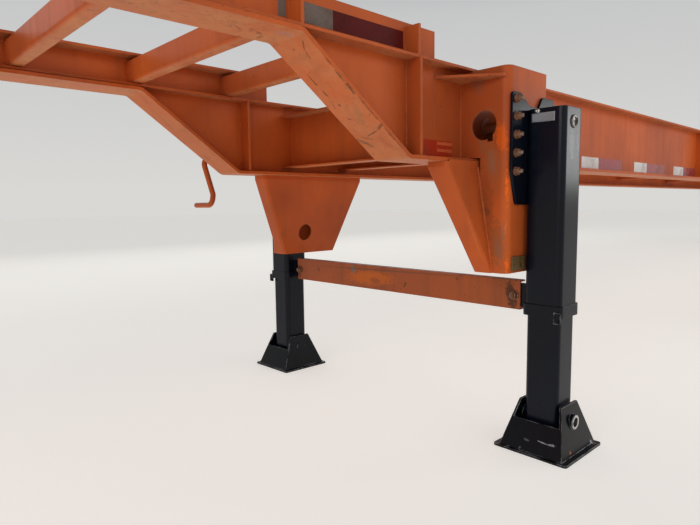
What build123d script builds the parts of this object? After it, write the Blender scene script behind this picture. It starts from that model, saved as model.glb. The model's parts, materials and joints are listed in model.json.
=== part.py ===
from build123d import *
import os
from math import atan2, cos, pi, sin

# A fifty-three-foot gooseneck container chassis: an empty semi trailer parked on its landing legs.
# Millimetres. X runs forward to the kingpin, Y to the left and Z up from the ground.
# The origin lies on the ground below the middle of the overall length.

# Container that the chassis is made for
container_length = 16154
casting_inset = 103.5
casting_width_spacing = 2259
seat_height = 1250

# Overall places
overall_width = 2591
nose_depth = 150
tail_depth = 78
leg_setback = 3390
kingpin_setback = 762
tandem_setback = 1550
axle_spread = 1245

nose_x = (container_length + nose_depth + tail_depth) / 2
tail_x = -nose_x
container_front = nose_x - nose_depth
container_rear = container_front - container_length
leg_x = container_front - leg_setback
kingpin_x = container_front - kingpin_setback
tandem_x = container_rear + tandem_setback
casting_rear_x = container_rear + casting_inset
casting_y = casting_width_spacing / 2
front_axle_x = tandem_x + axle_spread / 2
rear_axle_x = tandem_x - axle_spread / 2

# Main rails: welded I beams
rail_offset = 455
rail_top = 1260
rail_depth = 305
rail_web = 8
top_flange_width = 106
top_flange = 8
bottom_flange_width = 137
bottom_flange = 12
rail_bottom = rail_top - rail_depth
web_outer = rail_offset + rail_web / 2
web_inner = rail_offset - rail_web / 2
stiffener_thickness = 10
shaft_height = 1085
shaft_hole_radius = 32

# Gooseneck: the bottom flange climbs a ramp and the risers stand on the top flange
gooseneck_bottom = 1235
gooseneck_top = 1360
ramp_foot = 491
ramp_head = 881
ramp_bend_radius = 28
riser_start = 298
riser_flange_width = 74
middle_stiffener = 2417
kink_stiffener = 430
riser_posts = (430, 868)
riser_post_gap = 12
gooseneck_rear_x = leg_x + riser_start

# Cross-members
neck_member_first = 479
neck_member_pitch = 381
neck_member_depth = 48
neck_member_height = 76
neck_member_wall = 6
neck_member_bottom = rail_top + 2
deep_member_height = 228
deep_member_flange = 60
deep_member_bottom = rail_bottom + 33
light_member_height = 152
light_member_flange = 52
light_member_bottom = rail_bottom + 60
light_member_count = 10
light_member_rear_gap = 300
light_member_front_gap = 900
tank_member = 5
member_wall = 6

# Coupler and kingpin
coupler_thickness = 8
coupler_half_width = rail_offset + bottom_flange_width / 2
coupler_rear_reach = 480
coupler_bottom = gooseneck_bottom - coupler_thickness
kingpin_collar_radius = 36.5
kingpin_neck_radius = 25.4
kingpin_head_radius = 35.7
kingpin_collar_length = 35.5
kingpin_neck_length = 36
kingpin_head_length = 12.6

# Front bolster
bolster_clearance = 12
front_bolster_depth = 100
front_bolster_wall = 6
front_pin_radius = 19
front_pin_height = 62
front_pin_free_radius = 17
front_pin_reach = 46

# Rear bolster
rear_bolster_depth = 215
rear_bolster_height = 152
rear_bolster_overhang = 8
rear_bolster_wall = 6
lamp_radius = 54
marker_radius = 20
lamp_hole_clearance = 1
lamp_places = (1010, 880, 750)
marker_places = (150, 0, -150)
twist_shaft_radius = 19
twist_neck_height = 27
twist_head_height = 42
twist_head_foot = (104, 56)
twist_head_top = (52, 34)
guard_low = 460
guard_beam = 100
guard_wall = 5
guard_post_wall = 10

bolster_rear_x = container_front + bolster_clearance
rear_bolster_back = container_rear - rear_bolster_overhang
rear_bolster_front = rear_bolster_back + rear_bolster_depth

# Landing legs
leg_offset = 714
leg_outer_size = 127
leg_outer_wall = 5
leg_slide_clearance = 0.4
leg_corner_radius = 20
leg_tube_bottom = 453
leg_tube_top = 1112
leg_lid = 8
leg_collar_size = 137
leg_collar_height = 38
leg_inner_wall = 8
leg_plate_thickness = 9
leg_plate_half_width = 150
leg_plate_foot_half_width = 119
leg_plate_bottom = 817
leg_plate_shoulder = 923
leg_plate_top = 1170
leg_plate_valley = 1133
leg_plate_front_ear = (48, 100)
leg_plate_rear_ear = (14, 38, 104)
foot_size = 260
foot_plate = 8
foot_wall = 8
foot_low_half_length, foot_low_half_width = 120, 110
foot_high_half_length = 55
foot_tube_clearance = 8.9
foot_top = 160
foot_end_wall_top = 100
foot_pin_radius = 25
foot_pin_bore = 18
foot_pin_height = 105
foot_pin_outer_stand = 21
foot_pin_inner_stand = 14
pin_clearance = 0.3
leg_inner_size = leg_outer_size - 2 * leg_outer_wall - 2 * leg_slide_clearance
leg_inner_face = leg_offset - leg_outer_size / 2
foot_high_half_width = leg_inner_size / 2 + foot_tube_clearance + foot_wall
foot_pin_outer_reach = foot_high_half_width + foot_pin_outer_stand
foot_pin_inner_reach = foot_high_half_width + foot_pin_inner_stand
bracket_face = leg_inner_face - leg_plate_thickness

# Landing leg brackets
bracket_front = 158
bracket_rear = 140
bracket_bottom = 595
bracket_wall = 8
bracket_bend = 26
bracket_hole_radius = 47
bracket_hole_y = 551
bracket_hole_z = 1074
seam = 0.5

# Inclined gusset box below the rail
gusset_wall = 6
gusset_top_inner, gusset_top_outer = 447, 530
gusset_foot_inner, gusset_foot_outer = 522, 590
gusset_top_front, gusset_top_rear = 324, -265
gusset_foot_front, gusset_foot_rear = 168, -140
gusset_foot_z = 595
gusset_bend = 14
gusset_upright = 17
gusset_lip = 6
gusset_hole_x, gusset_hole_z = 61, 695
gusset_hole_radius = 38

# Gear drive of the legs
shaft_radius = 15
gearbox_depth = 62
gearbox_boss = 12
crank_height = 1000
crank_radius = 13
crank_bend = 33
crank_offset = 34
crank_arm = ((380, 1066), (325, 880), (333, 829))
crank_grip = 155

# Cross brace between the legs
brace_bottom = 457
brace_height = 102
brace_flange = 32
brace_wall = 6
brace_front = 20
brace_end_gap = 37
brace_tab = 10

# Wheels and axles
tyre_radius = 507
tyre_width = 279
rim_seat_radius = 285
rim_width = 222
rim_flange_width = 12
rim_flange_height = 13
track_half = 984
dual_spacing = 343
wheel_disc = 11
hand_hole_count = 5
hand_hole_radius = 30
hand_hole_circle = 213
axle_radius = 63.5
spindle_radius = 42
hub_clearance = 0.3
drum_radius = 210
drum_inner = track_half - 265

# Springs
spring_width = 76
spring_half_length = 472
spring_camber = 75
leaf_thickness = 14
spring_seat = 20
hanger_clearance = 4
hanger_wall = 8
hanger_half_length = 65
rocker_pin_radius = 20

# Brakes
chamber_y = 300
chamber_height = 128
chamber_plate_x = 58
chamber_plate = 10
cam_x = 105


# Places of the light cross-members, from the rear bolster forward to the leg brackets
light_member_first = rear_bolster_front + light_member_rear_gap
light_member_last = leg_x - bracket_rear - light_member_front_gap
light_member_pitch = (light_member_last - light_member_first) / (light_member_count - 1)
light_member_places = [light_member_first + i * light_member_pitch for i in range(light_member_count)]
tank_member_x = light_member_places[tank_member]


# Basic solids
def block(x, y, z):
    size = [pair[1] - pair[0] for pair in (x, y, z)]
    middle = [(pair[1] + pair[0]) / 2 for pair in (x, y, z)]
    return Pos(*middle) * Box(*size)


def prism(axis, points, low, high):
    planes = {
        "x": Plane((low, 0, 0), x_dir=(0, 1, 0), z_dir=(1, 0, 0)),
        "y": Plane((0, high, 0), x_dir=(1, 0, 0), z_dir=(0, -1, 0)),
        "z": Plane((0, 0, low), x_dir=(1, 0, 0), z_dir=(0, 0, 1)),
    }
    return extrude(planes[axis] * make_face(Polyline(*points, close=True)), high - low)


def rod(start, end, radius):
    run = Vector(*end) - Vector(*start)
    return extrude(Plane(origin=start, z_dir=run) * Circle(radius), run.length)


def turned(points, centre, axis=(0, 1, 0)):
    # points are (distance along the axis, radius)
    plane = Plane(origin=centre, x_dir=axis, z_dir=Vector(*axis).cross(Vector(0, 0, 1)) * -1)
    face = plane * make_face(Polyline(*points, close=True))
    return revolve(face, Axis(centre, axis))


def mirrored(shape):
    return mirror(shape, about=Plane.XZ)


def pair(shape):
    return shape + mirrored(shape)


def raised(points, distance):
    # the same chain of straight runs, shifted to its left, with mitred corners
    last = len(points) - 1
    result = []
    for i, (x, z) in enumerate(points):
        start, here, end = points[max(i - 1, 0)], points[i], points[min(i + 1, last)]
        after = atan2(end[1] - here[1], end[0] - here[0]) if i < last else None
        before = atan2(here[1] - start[1], here[0] - start[0]) if i > 0 else after
        after = before if after is None else after
        middle = (before + after) / 2
        reach = distance / cos((after - before) / 2)
        result.append((x - reach * sin(middle), z + reach * cos(middle)))
    return result


def rounded(face, corners, radius):
    picked = [min(face.vertices(), key=lambda v: (v.X - x) ** 2 + (v.Y - z) ** 2) for x, z in corners]
    return fillet(picked, radius)


# Main rails behind the gooseneck
def web_stiffener(x, z_low, z_high):
    reach = (bottom_flange_width - rail_web) / 2 - 8
    low, high = x - stiffener_thickness / 2, x + stiffener_thickness / 2
    outer = block((low, high), (web_outer, web_outer + reach), (z_low, z_high))
    inner = block((low, high), (web_inner - reach, web_inner), (z_low, z_high))
    return outer + inner


def main_beam():
    run = (rear_bolster_front, gooseneck_rear_x)
    web = block(run, (web_inner, web_outer), (rail_bottom, rail_top))
    half_top, half_bottom = top_flange_width / 2, bottom_flange_width / 2
    top = block(run, (rail_offset - half_top, rail_offset + half_top), (rail_top - top_flange, rail_top))
    bottom_y = (rail_offset - half_bottom, rail_offset + half_bottom)
    bottom = block(run, bottom_y, (rail_bottom, rail_bottom + bottom_flange))
    beam = web + top + bottom
    for x in stiffener_places:
        beam += web_stiffener(x, rail_bottom + bottom_flange, rail_top - top_flange)
    shaft_run = ((leg_x, web_inner - 1, shaft_height), (leg_x, web_outer + 1, shaft_height))
    return beam - rod(*shaft_run, shaft_hole_radius)


spring_ends = (front_axle_x + spring_half_length, rear_axle_x - spring_half_length)
stiffener_places = (leg_x - middle_stiffener, tandem_x, *spring_ends)


# Gooseneck rail: kinked bottom flange, web, top flange and riser
def gooseneck_rail():
    foot, head = leg_x + ramp_foot, leg_x + ramp_head
    under = [
        (gooseneck_rear_x, rail_bottom),
        (foot, rail_bottom),
        (head, gooseneck_bottom),
        (bolster_rear_x, gooseneck_bottom),
    ]
    inside = raised(under, bottom_flange)
    outline = make_face(Polyline(*under, *reversed(inside), close=True))
    outline = rounded(outline, (under[1], inside[2]), ramp_bend_radius + bottom_flange)
    outline = rounded(outline, (under[2], inside[1]), ramp_bend_radius)
    half_bottom, half_top = bottom_flange_width / 2, top_flange_width / 2
    side = Plane((0, rail_offset + half_bottom, 0), x_dir=(1, 0, 0), z_dir=(0, -1, 0))
    flange = extrude(side * outline, bottom_flange_width)
    middle = raised(under, bottom_flange / 2)
    web_points = middle + [(bolster_rear_x, rail_top), (gooseneck_rear_x, rail_top)]
    web = prism("y", web_points, web_inner, web_outer)
    run = (gooseneck_rear_x, bolster_rear_x)
    top = block(run, (rail_offset - half_top, rail_offset + half_top), (rail_top - top_flange, rail_top))
    riser = block(run, (web_inner, web_outer), (rail_top - top_flange, gooseneck_top))
    cap_y = (web_outer - riser_flange_width, web_outer)
    cap = block(run, cap_y, (gooseneck_top - top_flange, gooseneck_top))
    stiff = web_stiffener(leg_x + kink_stiffener, rail_bottom + bottom_flange, rail_top - top_flange)
    half = stiffener_thickness / 2
    outer_edge = rail_offset + half_top
    rail = flange + web + top + riser + cap + stiff
    for place in riser_posts:
        post_x = (leg_x + place - half, leg_x + place + half)
        rail += block(post_x, (web_outer, outer_edge), (rail_top, gooseneck_top - riser_post_gap))
    return rail


# Cross-members of the gooseneck: pressed channels, closed below, with a rounded lower front fold
def neck_members():
    half = web_inner - seam
    first = leg_x + neck_member_first
    count = int((bolster_rear_x - first - neck_member_depth) // neck_member_pitch) + 1
    low, high = neck_member_bottom, neck_member_bottom + neck_member_height
    members = Part()
    for i in range(count):
        rear = first + i * neck_member_pitch
        front = rear + neck_member_depth
        points = [(rear, low), (front, low), (front, high), (rear, high)]
        outline = rounded(make_face(Polyline(*points, close=True)), ((front, low), (rear, low)), 14)
        side = Plane((0, half, 0), x_dir=(1, 0, 0), z_dir=(0, -1, 0))
        member = extrude(side * outline, 2 * half)
        hollow_x = (rear + neck_member_wall, front - neck_member_wall)
        hollow_z = (low + neck_member_wall, high - neck_member_wall)
        members += member - block(hollow_x, (-half, half), hollow_z)
    return members


# Cross-members between the rail webs: channels with their flanges pointing forward
def channel_member(x, bottom, height, flange):
    half = web_inner - seam
    across = (-half, half)
    web = block((x, x + member_wall), across, (bottom, bottom + height))
    lower = block((x, x + flange), across, (bottom, bottom + member_wall))
    upper = block((x, x + flange), across, (bottom + height - member_wall, bottom + height))
    return web + lower + upper


def main_members():
    members = Part()
    for x in (leg_x + bracket_front + 10, leg_x - bracket_rear - 30):
        members += channel_member(x, deep_member_bottom, deep_member_height, deep_member_flange)
    for x in light_member_places:
        members += channel_member(x, light_member_bottom, light_member_height, light_member_flange)
    return members


# Coupler plate with the kingpin's boss bars, and the kingpin
def coupler_plate():
    rear = kingpin_x - coupler_rear_reach
    front = bolster_rear_x
    half = coupler_half_width
    points = [(rear, -half + 40), (rear + 40, -half), (front, -half)]
    points += [(x, -y) for x, y in reversed(points)]
    plate = prism("z", points, coupler_bottom, gooseneck_bottom)
    inner = rail_offset - bottom_flange_width / 2 - seam
    for x in (kingpin_x - 170, kingpin_x + 160):
        bar = block((x, x + 10), (-inner, inner), (gooseneck_bottom, neck_member_bottom - 2))
        plate += bar
    return plate


def kingpin():
    collar = coupler_bottom - kingpin_collar_length
    neck = collar - kingpin_neck_length
    head = neck - kingpin_head_length
    points = [
        (coupler_bottom, 0),
        (coupler_bottom, kingpin_collar_radius),
        (collar, kingpin_collar_radius),
        (collar, kingpin_neck_radius),
        (neck, kingpin_neck_radius),
        (neck, kingpin_head_radius),
        (head + 3, kingpin_head_radius),
        (head, kingpin_head_radius - 3),
        (head, 0),
    ]
    outline = make_face(Polyline(*[(radius, z) for z, radius in points], close=True))
    plane = Plane((kingpin_x, 0, 0), x_dir=(1, 0, 0), z_dir=(0, -1, 0))
    return revolve(plane * outline, Axis((kingpin_x, 0, 0), (0, 0, 1)))


# Front bolster: a full-width box beam with lock pins that enter the front castings
def front_bolster():
    half = overall_width / 2
    rear, front = bolster_rear_x, bolster_rear_x + front_bolster_depth
    low, high = gooseneck_bottom, gooseneck_top
    points = [(rear, low), (front - 30, low), (front, low + 30), (front, high), (rear, high)]
    wall = front_bolster_wall
    hollow = [(rear + wall, low + wall), (front - 32, low + wall), (front - wall, low + 32)]
    hollow += [(front - wall, high - wall), (rear + wall, high - wall)]
    beam = prism("y", points, -half, half) - prism("y", hollow, -half + wall, half - wall)
    pin_z = seat_height + front_pin_height
    for y in (casting_y, -casting_y):
        beam -= rod((rear - 1, y, pin_z), (front + 1, y, pin_z), front_pin_radius + pin_clearance)
    return beam


def front_pins():
    pin_z = seat_height + front_pin_height
    rear, front = bolster_rear_x, bolster_rear_x + front_bolster_depth
    pin = rod((rear, casting_y, pin_z), (front + 12, casting_y, pin_z), front_pin_radius)
    tip = rod((rear - front_pin_reach, casting_y, pin_z), (rear, casting_y, pin_z), front_pin_free_radius)
    handle = rod((front + 8, casting_y, pin_z), (front + 8, casting_y - 130, pin_z - 12), 6)
    return pair(pin + tip + handle)


# Air couplings and the electrical socket on the front bolster
def service_couplings():
    face, end = bolster_rear_x + front_bolster_depth, nose_x
    z = (gooseneck_bottom + gooseneck_top) / 2 + 8
    result = rod((face, 0, z), (end, 0, z), 30)
    for y in (-150, 150):
        result += rod((face, y, z), (end - 12, y, z), 16) + rod((end - 26, y, z + 12), (end, y, z + 12), 26)
    return result


# Landing leg bracket: a bent outboard box, and an inclined gusset box that leans out below the rail
gusset_knee_z = rail_bottom - gusset_upright


def gusset_outer_y(z):
    share = (gusset_knee_z - z) / (gusset_knee_z - gusset_foot_z)
    return gusset_top_outer + share * (gusset_foot_outer - gusset_top_outer)


def leg_bracket():
    front, rear = leg_x + bracket_front, leg_x - bracket_rear
    low, high = bracket_bottom, rail_top - top_flange
    outer_corners = ((front, bracket_face), (rear, bracket_face))
    outline = make_face(Polyline((rear, 0), (front, 0), *outer_corners, close=True))
    outline = rounded(outline, outer_corners, bracket_bend)
    wall = bracket_wall
    inside_y = bracket_face - wall
    inner_corners = ((front - wall, inside_y), (rear + wall, inside_y))
    hollow = make_face(Polyline((rear + wall, -1), (front - wall, -1), *inner_corners, close=True))
    hollow = rounded(hollow, inner_corners, bracket_bend - wall)
    shell = extrude(Pos(0, 0, low) * (outline - hollow), high - low)
    knee = rail_bottom - 64
    shoulder = rail_bottom + bottom_flange + 4
    slot_edge = gusset_outer_y(knee) + seam
    cut = [
        (-1, low - 1),
        (gusset_outer_y(low - 1) + seam, low - 1),
        (slot_edge, knee),
        (slot_edge, shoulder),
        (web_outer + seam, shoulder),
        (web_outer + seam, high + 1),
        (-1, high + 1),
    ]
    shell -= prism("x", cut, rear - 1, front + 1)
    top_corner = [(rear - 1, high - 90), (rear + 65, high - 90), (rear + 65, high + 1), (rear - 1, high + 1)]
    shell -= prism("y", top_corner, 0, bracket_face + 1)
    hole_start = (front - wall - 1, bracket_hole_y, bracket_hole_z)
    hole_end = (front + 1, bracket_hole_y, bracket_hole_z)
    shell -= rod(hole_start, hole_end, bracket_hole_radius)
    notch_y = (bracket_hole_y + 12, bracket_hole_y + 34)
    notch_z = (bracket_hole_z - bracket_hole_radius - 6, bracket_hole_z)
    shell -= block((front - wall - 1, front + 1), notch_y, notch_z)
    shaft_run = ((leg_x, inside_y - 1, shaft_height), (leg_x, bracket_face + 1, shaft_height))
    shell -= rod(*shaft_run, shaft_hole_radius)
    plate_z = high - 35
    corner = [(front, web_outer + seam), (leg_x + 302, web_outer + seam), (front + 14, 631), (front, 631)]
    return shell + prism("z", corner, plate_z, plate_z + wall)


def leg_gusset():
    def ring(z, inner, outer, rear, front, inset):
        size = (front - rear - 2 * inset, outer - inner - 2 * inset)
        middle = Pos(leg_x + (front + rear) / 2, (inner + outer) / 2, z)
        return middle * RectangleRounded(*size, gusset_bend - inset)

    knee = (gusset_knee_z, gusset_top_inner, gusset_top_outer, gusset_top_rear, gusset_top_front)
    foot = (gusset_foot_z, gusset_foot_inner, gusset_foot_outer, gusset_foot_rear, gusset_foot_front)

    def solid(inset):
        upright = extrude(ring(*knee, inset), gusset_upright)
        return loft([ring(*foot, inset), ring(*knee, inset)], ruled=True) + upright

    box = solid(0) - solid(gusset_wall)
    lip_x = (leg_x + gusset_top_rear + gusset_bend, leg_x + gusset_top_front - gusset_bend)
    lip_y = (gusset_top_outer - gusset_wall, gusset_top_outer)
    box += block(lip_x, lip_y, (gusset_knee_z, rail_bottom + gusset_lip))
    hole_x = leg_x + gusset_hole_x
    hole_y = (gusset_top_inner - 1, gusset_foot_inner + 20)
    hole_run = [(hole_x, y, gusset_hole_z) for y in hole_y]
    return box - rod(*hole_run, gusset_hole_radius)


# Landing leg: outer tube with collar, lid and mounting plate, sliding inner tube and pivoting foot
def square_tube(size, wall, low, high):
    outer = RectangleRounded(size, size, leg_corner_radius)
    inner = RectangleRounded(size - 2 * wall, size - 2 * wall, max(leg_corner_radius - wall, 2))
    return extrude(Pos(leg_x, leg_offset, low) * (outer - inner), high - low)


def leg_outer_tube():
    tube = square_tube(leg_outer_size, leg_outer_wall, leg_tube_bottom, leg_tube_top)
    collar_wall = (leg_collar_size - leg_outer_size) / 2 + leg_outer_wall
    collar = square_tube(leg_collar_size, collar_wall, leg_tube_bottom, leg_tube_bottom + leg_collar_height)
    lid_profile = RectangleRounded(leg_outer_size, leg_outer_size, leg_corner_radius)
    lid = extrude(Pos(leg_x, leg_offset, leg_tube_top) * lid_profile, leg_lid)
    half, foot_half = leg_plate_half_width, leg_plate_foot_half_width
    corners = [(half, leg_plate_top), (half, leg_plate_shoulder), (foot_half, leg_plate_bottom)]
    corners += [(-foot_half, leg_plate_bottom), (-half, leg_plate_shoulder), (-half, leg_plate_valley)]
    valley_rear, ear_inner, ear_outer = leg_plate_rear_ear
    valley_front, ear_edge = leg_plate_front_ear
    ears = [(-ear_outer, leg_plate_top), (-ear_inner, leg_plate_top), (-valley_rear, leg_plate_valley)]
    ears += [(valley_front, leg_plate_valley), (ear_edge, leg_plate_top)]
    outline = make_face(Polyline(*[(leg_x + x, z) for x, z in corners + ears], close=True))
    outline = rounded(outline, [(leg_x + x, z) for x, z in corners], 12)
    outline = rounded(outline, [(leg_x + x, z) for x, z in ears], 8)
    side = Plane((0, leg_inner_face, 0), x_dir=(1, 0, 0), z_dir=(0, -1, 0))
    plate = extrude(side * outline, leg_plate_thickness)
    shaft_y = (bracket_face - 1, leg_inner_face + leg_outer_wall + 1)
    shaft_run = [(leg_x, y, shaft_height) for y in shaft_y]
    tab_front = leg_x + brace_front - brace_wall
    tab_y = (leg_inner_face - brace_end_gap - 24, leg_inner_face + leg_outer_wall)
    tab_z = (brace_bottom + brace_wall + 4, brace_bottom + brace_height - brace_wall - 4)
    tab = block((tab_front - brace_tab, tab_front), tab_y, tab_z)
    return tube + collar + lid + plate + tab - rod(*shaft_run, shaft_radius + pin_clearance)


def leg_inner_tube():
    tube = square_tube(leg_inner_size, leg_inner_wall, foot_pin_height - 60, leg_tube_bottom + 320)
    half = leg_inner_size / 2 + 1
    pin_run = ((leg_x, leg_offset - half, foot_pin_height), (leg_x, leg_offset + half, foot_pin_height))
    return tube - rod(*pin_run, foot_pin_radius + pin_clearance)


def leg_foot():
    # a hollow pyramid of four leaning plates on a square sole, its end walls lower than its side plates
    def ring(z, inset):
        share = (z - foot_plate) / (foot_top - foot_plate)
        length = foot_low_half_length + share * (foot_high_half_length - foot_low_half_length) - inset
        width = foot_low_half_width + share * (foot_high_half_width - foot_low_half_width) - inset
        return Pos(leg_x, leg_offset, z) * Rectangle(2 * length, 2 * width), width

    sole = Pos(leg_x, leg_offset, 0) * RectangleRounded(foot_size, foot_size, 10)
    outside = loft([ring(foot_plate, 0)[0], ring(foot_top, 0)[0]], ruled=True)
    inside = loft([ring(foot_plate, foot_wall)[0], ring(foot_top, foot_wall)[0]], ruled=True)
    low_width, high_width = ring(foot_end_wall_top, foot_wall)[1], ring(foot_top, foot_wall)[1]
    gap = [(-low_width, foot_end_wall_top), (low_width, foot_end_wall_top), (high_width, foot_top)]
    gap.append((-high_width, foot_top))
    opening = prism("x", [(leg_offset + y, z) for y, z in gap], leg_x - foot_size / 2, leg_x + foot_size / 2)
    foot = extrude(sole, foot_plate) + (outside - inside - opening)
    pin_y = (leg_offset - foot_pin_inner_reach, leg_offset + foot_pin_outer_reach)
    pin_run = [(leg_x, y, foot_pin_height) for y in pin_y]
    bore_run = [(leg_x, leg_offset, foot_pin_height), pin_run[1]]
    return foot + rod(*pin_run, foot_pin_radius) - rod(*bore_run, foot_pin_bore)


# Gear drive: gearbox on the right leg, cross shaft between the legs and the folded crank
def gearbox():
    face = -leg_offset - leg_outer_size / 2
    points = [(-52, 965), (52, 965), (60, 1000), (48, 1100), (-48, 1100), (-60, 1000)]
    outline = make_face(Polyline(*[(leg_x + x, z) for x, z in points], close=True))
    outline = rounded(outline, [(leg_x + x, z) for x, z in points], 14)
    plane = Plane((0, face, 0), x_dir=(1, 0, 0), z_dir=(0, -1, 0))
    housing = extrude(plane * outline, gearbox_depth)
    outer = face - gearbox_depth
    boss = rod((leg_x, outer, crank_height), (leg_x, outer - gearbox_boss, crank_height), 24)
    return housing + boss


def cross_shaft():
    end = leg_inner_face - 1
    return rod((leg_x, -end, shaft_height), (leg_x, end, shaft_height), shaft_radius)


def crank_handle():
    boss_face = -leg_offset - leg_outer_size / 2 - gearbox_depth - gearbox_boss
    y = boss_face - crank_offset
    route = [(leg_x, boss_face, crank_height), (leg_x, y, crank_height)]
    route += [(leg_x + x, y, z) for x, z in crank_arm]
    route.append((route[-1][0], y - crank_grip, route[-1][2]))
    path = FilletPolyline(*route, radius=crank_bend)
    return sweep(Plane(origin=path @ 0, z_dir=path % 0) * Circle(crank_radius), path=path)


# Cross brace: a channel between the leg tubes, open to the rear
def cross_brace():
    end = leg_inner_face - brace_end_gap
    low, high = brace_bottom, brace_bottom + brace_height
    x = leg_x + brace_front
    web = block((x - brace_wall, x), (-end, end), (low, high))
    lower = block((x - brace_flange, x), (-end, end), (low, low + brace_wall))
    upper = block((x - brace_flange, x), (-end, end), (high - brace_wall, high))
    return web + lower + upper


# Rear bolster: a box beam with round lamp openings, twist locks at its ends
def lamps_by_place():
    lamps = [(side * y, lamp_radius) for y in lamp_places for side in (1, -1)]
    return lamps + [(y, marker_radius) for y in marker_places]


def rear_bolster():
    half = overall_width / 2
    low, high = seat_height - rear_bolster_height, seat_height
    wall = rear_bolster_wall
    outer = block((rear_bolster_back, rear_bolster_front), (-half, half), (low, high))
    inner_x = (rear_bolster_back + wall, rear_bolster_front - wall)
    inner = block(inner_x, (-half + wall, half - wall), (low + wall, high - wall))
    beam = outer - inner
    lamp_z = (low + high) / 2
    for y, radius in lamps_by_place():
        ends = ((rear_bolster_back - 1, y, lamp_z), (rear_bolster_back + wall + 1, y, lamp_z))
        beam -= rod(*ends, radius + lamp_hole_clearance)
    for y in (casting_y, -casting_y):
        shaft_run = [(casting_rear_x, y, z) for z in (low - 1, high + 1)]
        beam -= rod(*shaft_run, twist_shaft_radius + pin_clearance)
    gusset = [(rear_bolster_front, low), (rear_bolster_front, rail_bottom), (rear_bolster_back + 40, low)]
    inner_y = rail_offset - 30
    plates = prism("y", gusset, inner_y, inner_y + 10) + prism("y", gusset, inner_y + 50, inner_y + 60)
    return beam + pair(plates)


def twist_locks():
    low = seat_height - rear_bolster_height
    head_low = seat_height + twist_neck_height
    locks = Part()
    for y in (casting_y, -casting_y):
        base = Pos(casting_rear_x, y, 0)
        shaft = rod((casting_rear_x, y, low - 40), (casting_rear_x, y, head_low), twist_shaft_radius)
        head_foot = base * Pos(0, 0, head_low) * Rectangle(*twist_head_foot)
        head_top = base * Pos(0, 0, head_low + twist_head_height) * Rectangle(*twist_head_top)
        inward = -1 if y > 0 else 1
        handle = rod((casting_rear_x, y, low - 30), (casting_rear_x, y + inward * 160, low - 30), 9)
        locks += shaft + loft([head_foot, head_top]) + handle
    return locks


def tail_lamps():
    lamp_z = seat_height - rear_bolster_height / 2
    lamps = Part()
    for y, radius in lamps_by_place():
        lamps += rod((rear_bolster_back - 6, y, lamp_z), (rear_bolster_back + 24, y, lamp_z), radius)
    return lamps


# Underride guard: posts below the rails and a beam across the full width
def underride_guard():
    half = overall_width / 2
    front, high, wall = tail_x + guard_beam, guard_low + guard_beam, guard_wall
    guard = block((tail_x, front), (-half, half), (guard_low, high))
    guard -= block((tail_x + wall, front - wall), (-half - 1, half + 1), (guard_low + wall, high - wall))
    top = seat_height - rear_bolster_height
    points = [(tail_x, high), (front, high)]
    points += [(rear_bolster_back + 150, top), (rear_bolster_back + 20, top)]
    for y in (rail_offset, -rail_offset):
        for low_y in (y - 4 - guard_post_wall, y + 4):
            guard += prism("y", points, low_y, low_y + guard_post_wall)
    return guard


# Suspension: hangers with cross pipes, springs, equalizers, torque arms and axles
axle_height = tyre_radius
spring_base = axle_height + axle_radius + spring_seat
pack_height = 3 * leaf_thickness
arc_radius = (spring_half_length ** 2 + spring_camber ** 2) / (2 * spring_camber)
leaf_shares = (0.97, 0.72, 0.44)
tip_angle = leaf_shares[0] * spring_half_length / arc_radius
tip_rise = arc_radius - (arc_radius - leaf_thickness) * cos(tip_angle)
spring_tip_z = spring_base + pack_height - leaf_thickness + tip_rise
rocker_pin_z = spring_tip_z + 95
hanger_places = (front_axle_x + spring_half_length, tandem_x, rear_axle_x - spring_half_length)


def hanger(x):
    inner_gap = spring_width / 2 + hanger_clearance
    low = spring_tip_z - 75
    half = hanger_half_length
    points = [(x - half - 35, rail_bottom), (x - half, low + 40), (x - half + 25, low)]
    points += [(2 * x - px, pz) for px, pz in reversed(points)]
    result = prism("y", points, rail_offset + inner_gap, rail_offset + inner_gap + hanger_wall)
    result += prism("y", points, rail_offset - inner_gap - hanger_wall, rail_offset - inner_gap)
    run_y = (rail_offset - inner_gap, rail_offset + inner_gap)
    saddle_z = rocker_pin_z + 58 if x == tandem_x else spring_tip_z + pin_clearance
    saddle = [(x - half, saddle_z), (x + half, saddle_z)]
    saddle += [(x + half + 25, rail_bottom), (x - half - 25, rail_bottom)]
    if x == tandem_x:
        result += rod((x, run_y[0], rocker_pin_z), (x, run_y[1], rocker_pin_z), rocker_pin_radius)
    return result + prism("y", saddle, *run_y)


def hangers():
    result = Part()
    for x in hanger_places:
        pipe_y = rail_offset - spring_width / 2 - hanger_clearance - hanger_wall
        pipe = rod((x, -pipe_y, rail_bottom - 80), (x, pipe_y, rail_bottom - 80), 38)
        result += pair(hanger(x)) + pipe
    return result


def leaf(middle_x, top, half_length, radius):
    end = radius - leaf_thickness
    angle = half_length / radius
    centre_z = top - leaf_thickness + radius
    outer = [(middle_x + radius * sin(a), centre_z - radius * cos(a)) for a in (-angle, 0, angle)]
    inner = [(middle_x + end * sin(a), centre_z - end * cos(a)) for a in (angle, 0, -angle)]
    ends = [Line(outer[2], inner[0]), Line(inner[2], outer[0])]
    return make_face([ThreePointArc(*outer), ThreePointArc(*inner)] + ends)


def springs():
    result = Part()
    for axle in (front_axle_x, rear_axle_x):
        face = Sketch()
        for i, share in enumerate(leaf_shares):
            top = spring_base + pack_height - i * leaf_thickness
            face += leaf(axle, top, share * spring_half_length, arc_radius + i * leaf_thickness)
        side = Plane((0, rail_offset + spring_width / 2, 0), x_dir=(1, 0, 0), z_dir=(0, -1, 0))
        result += extrude(side * face, spring_width)
    return pair(result)


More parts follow.
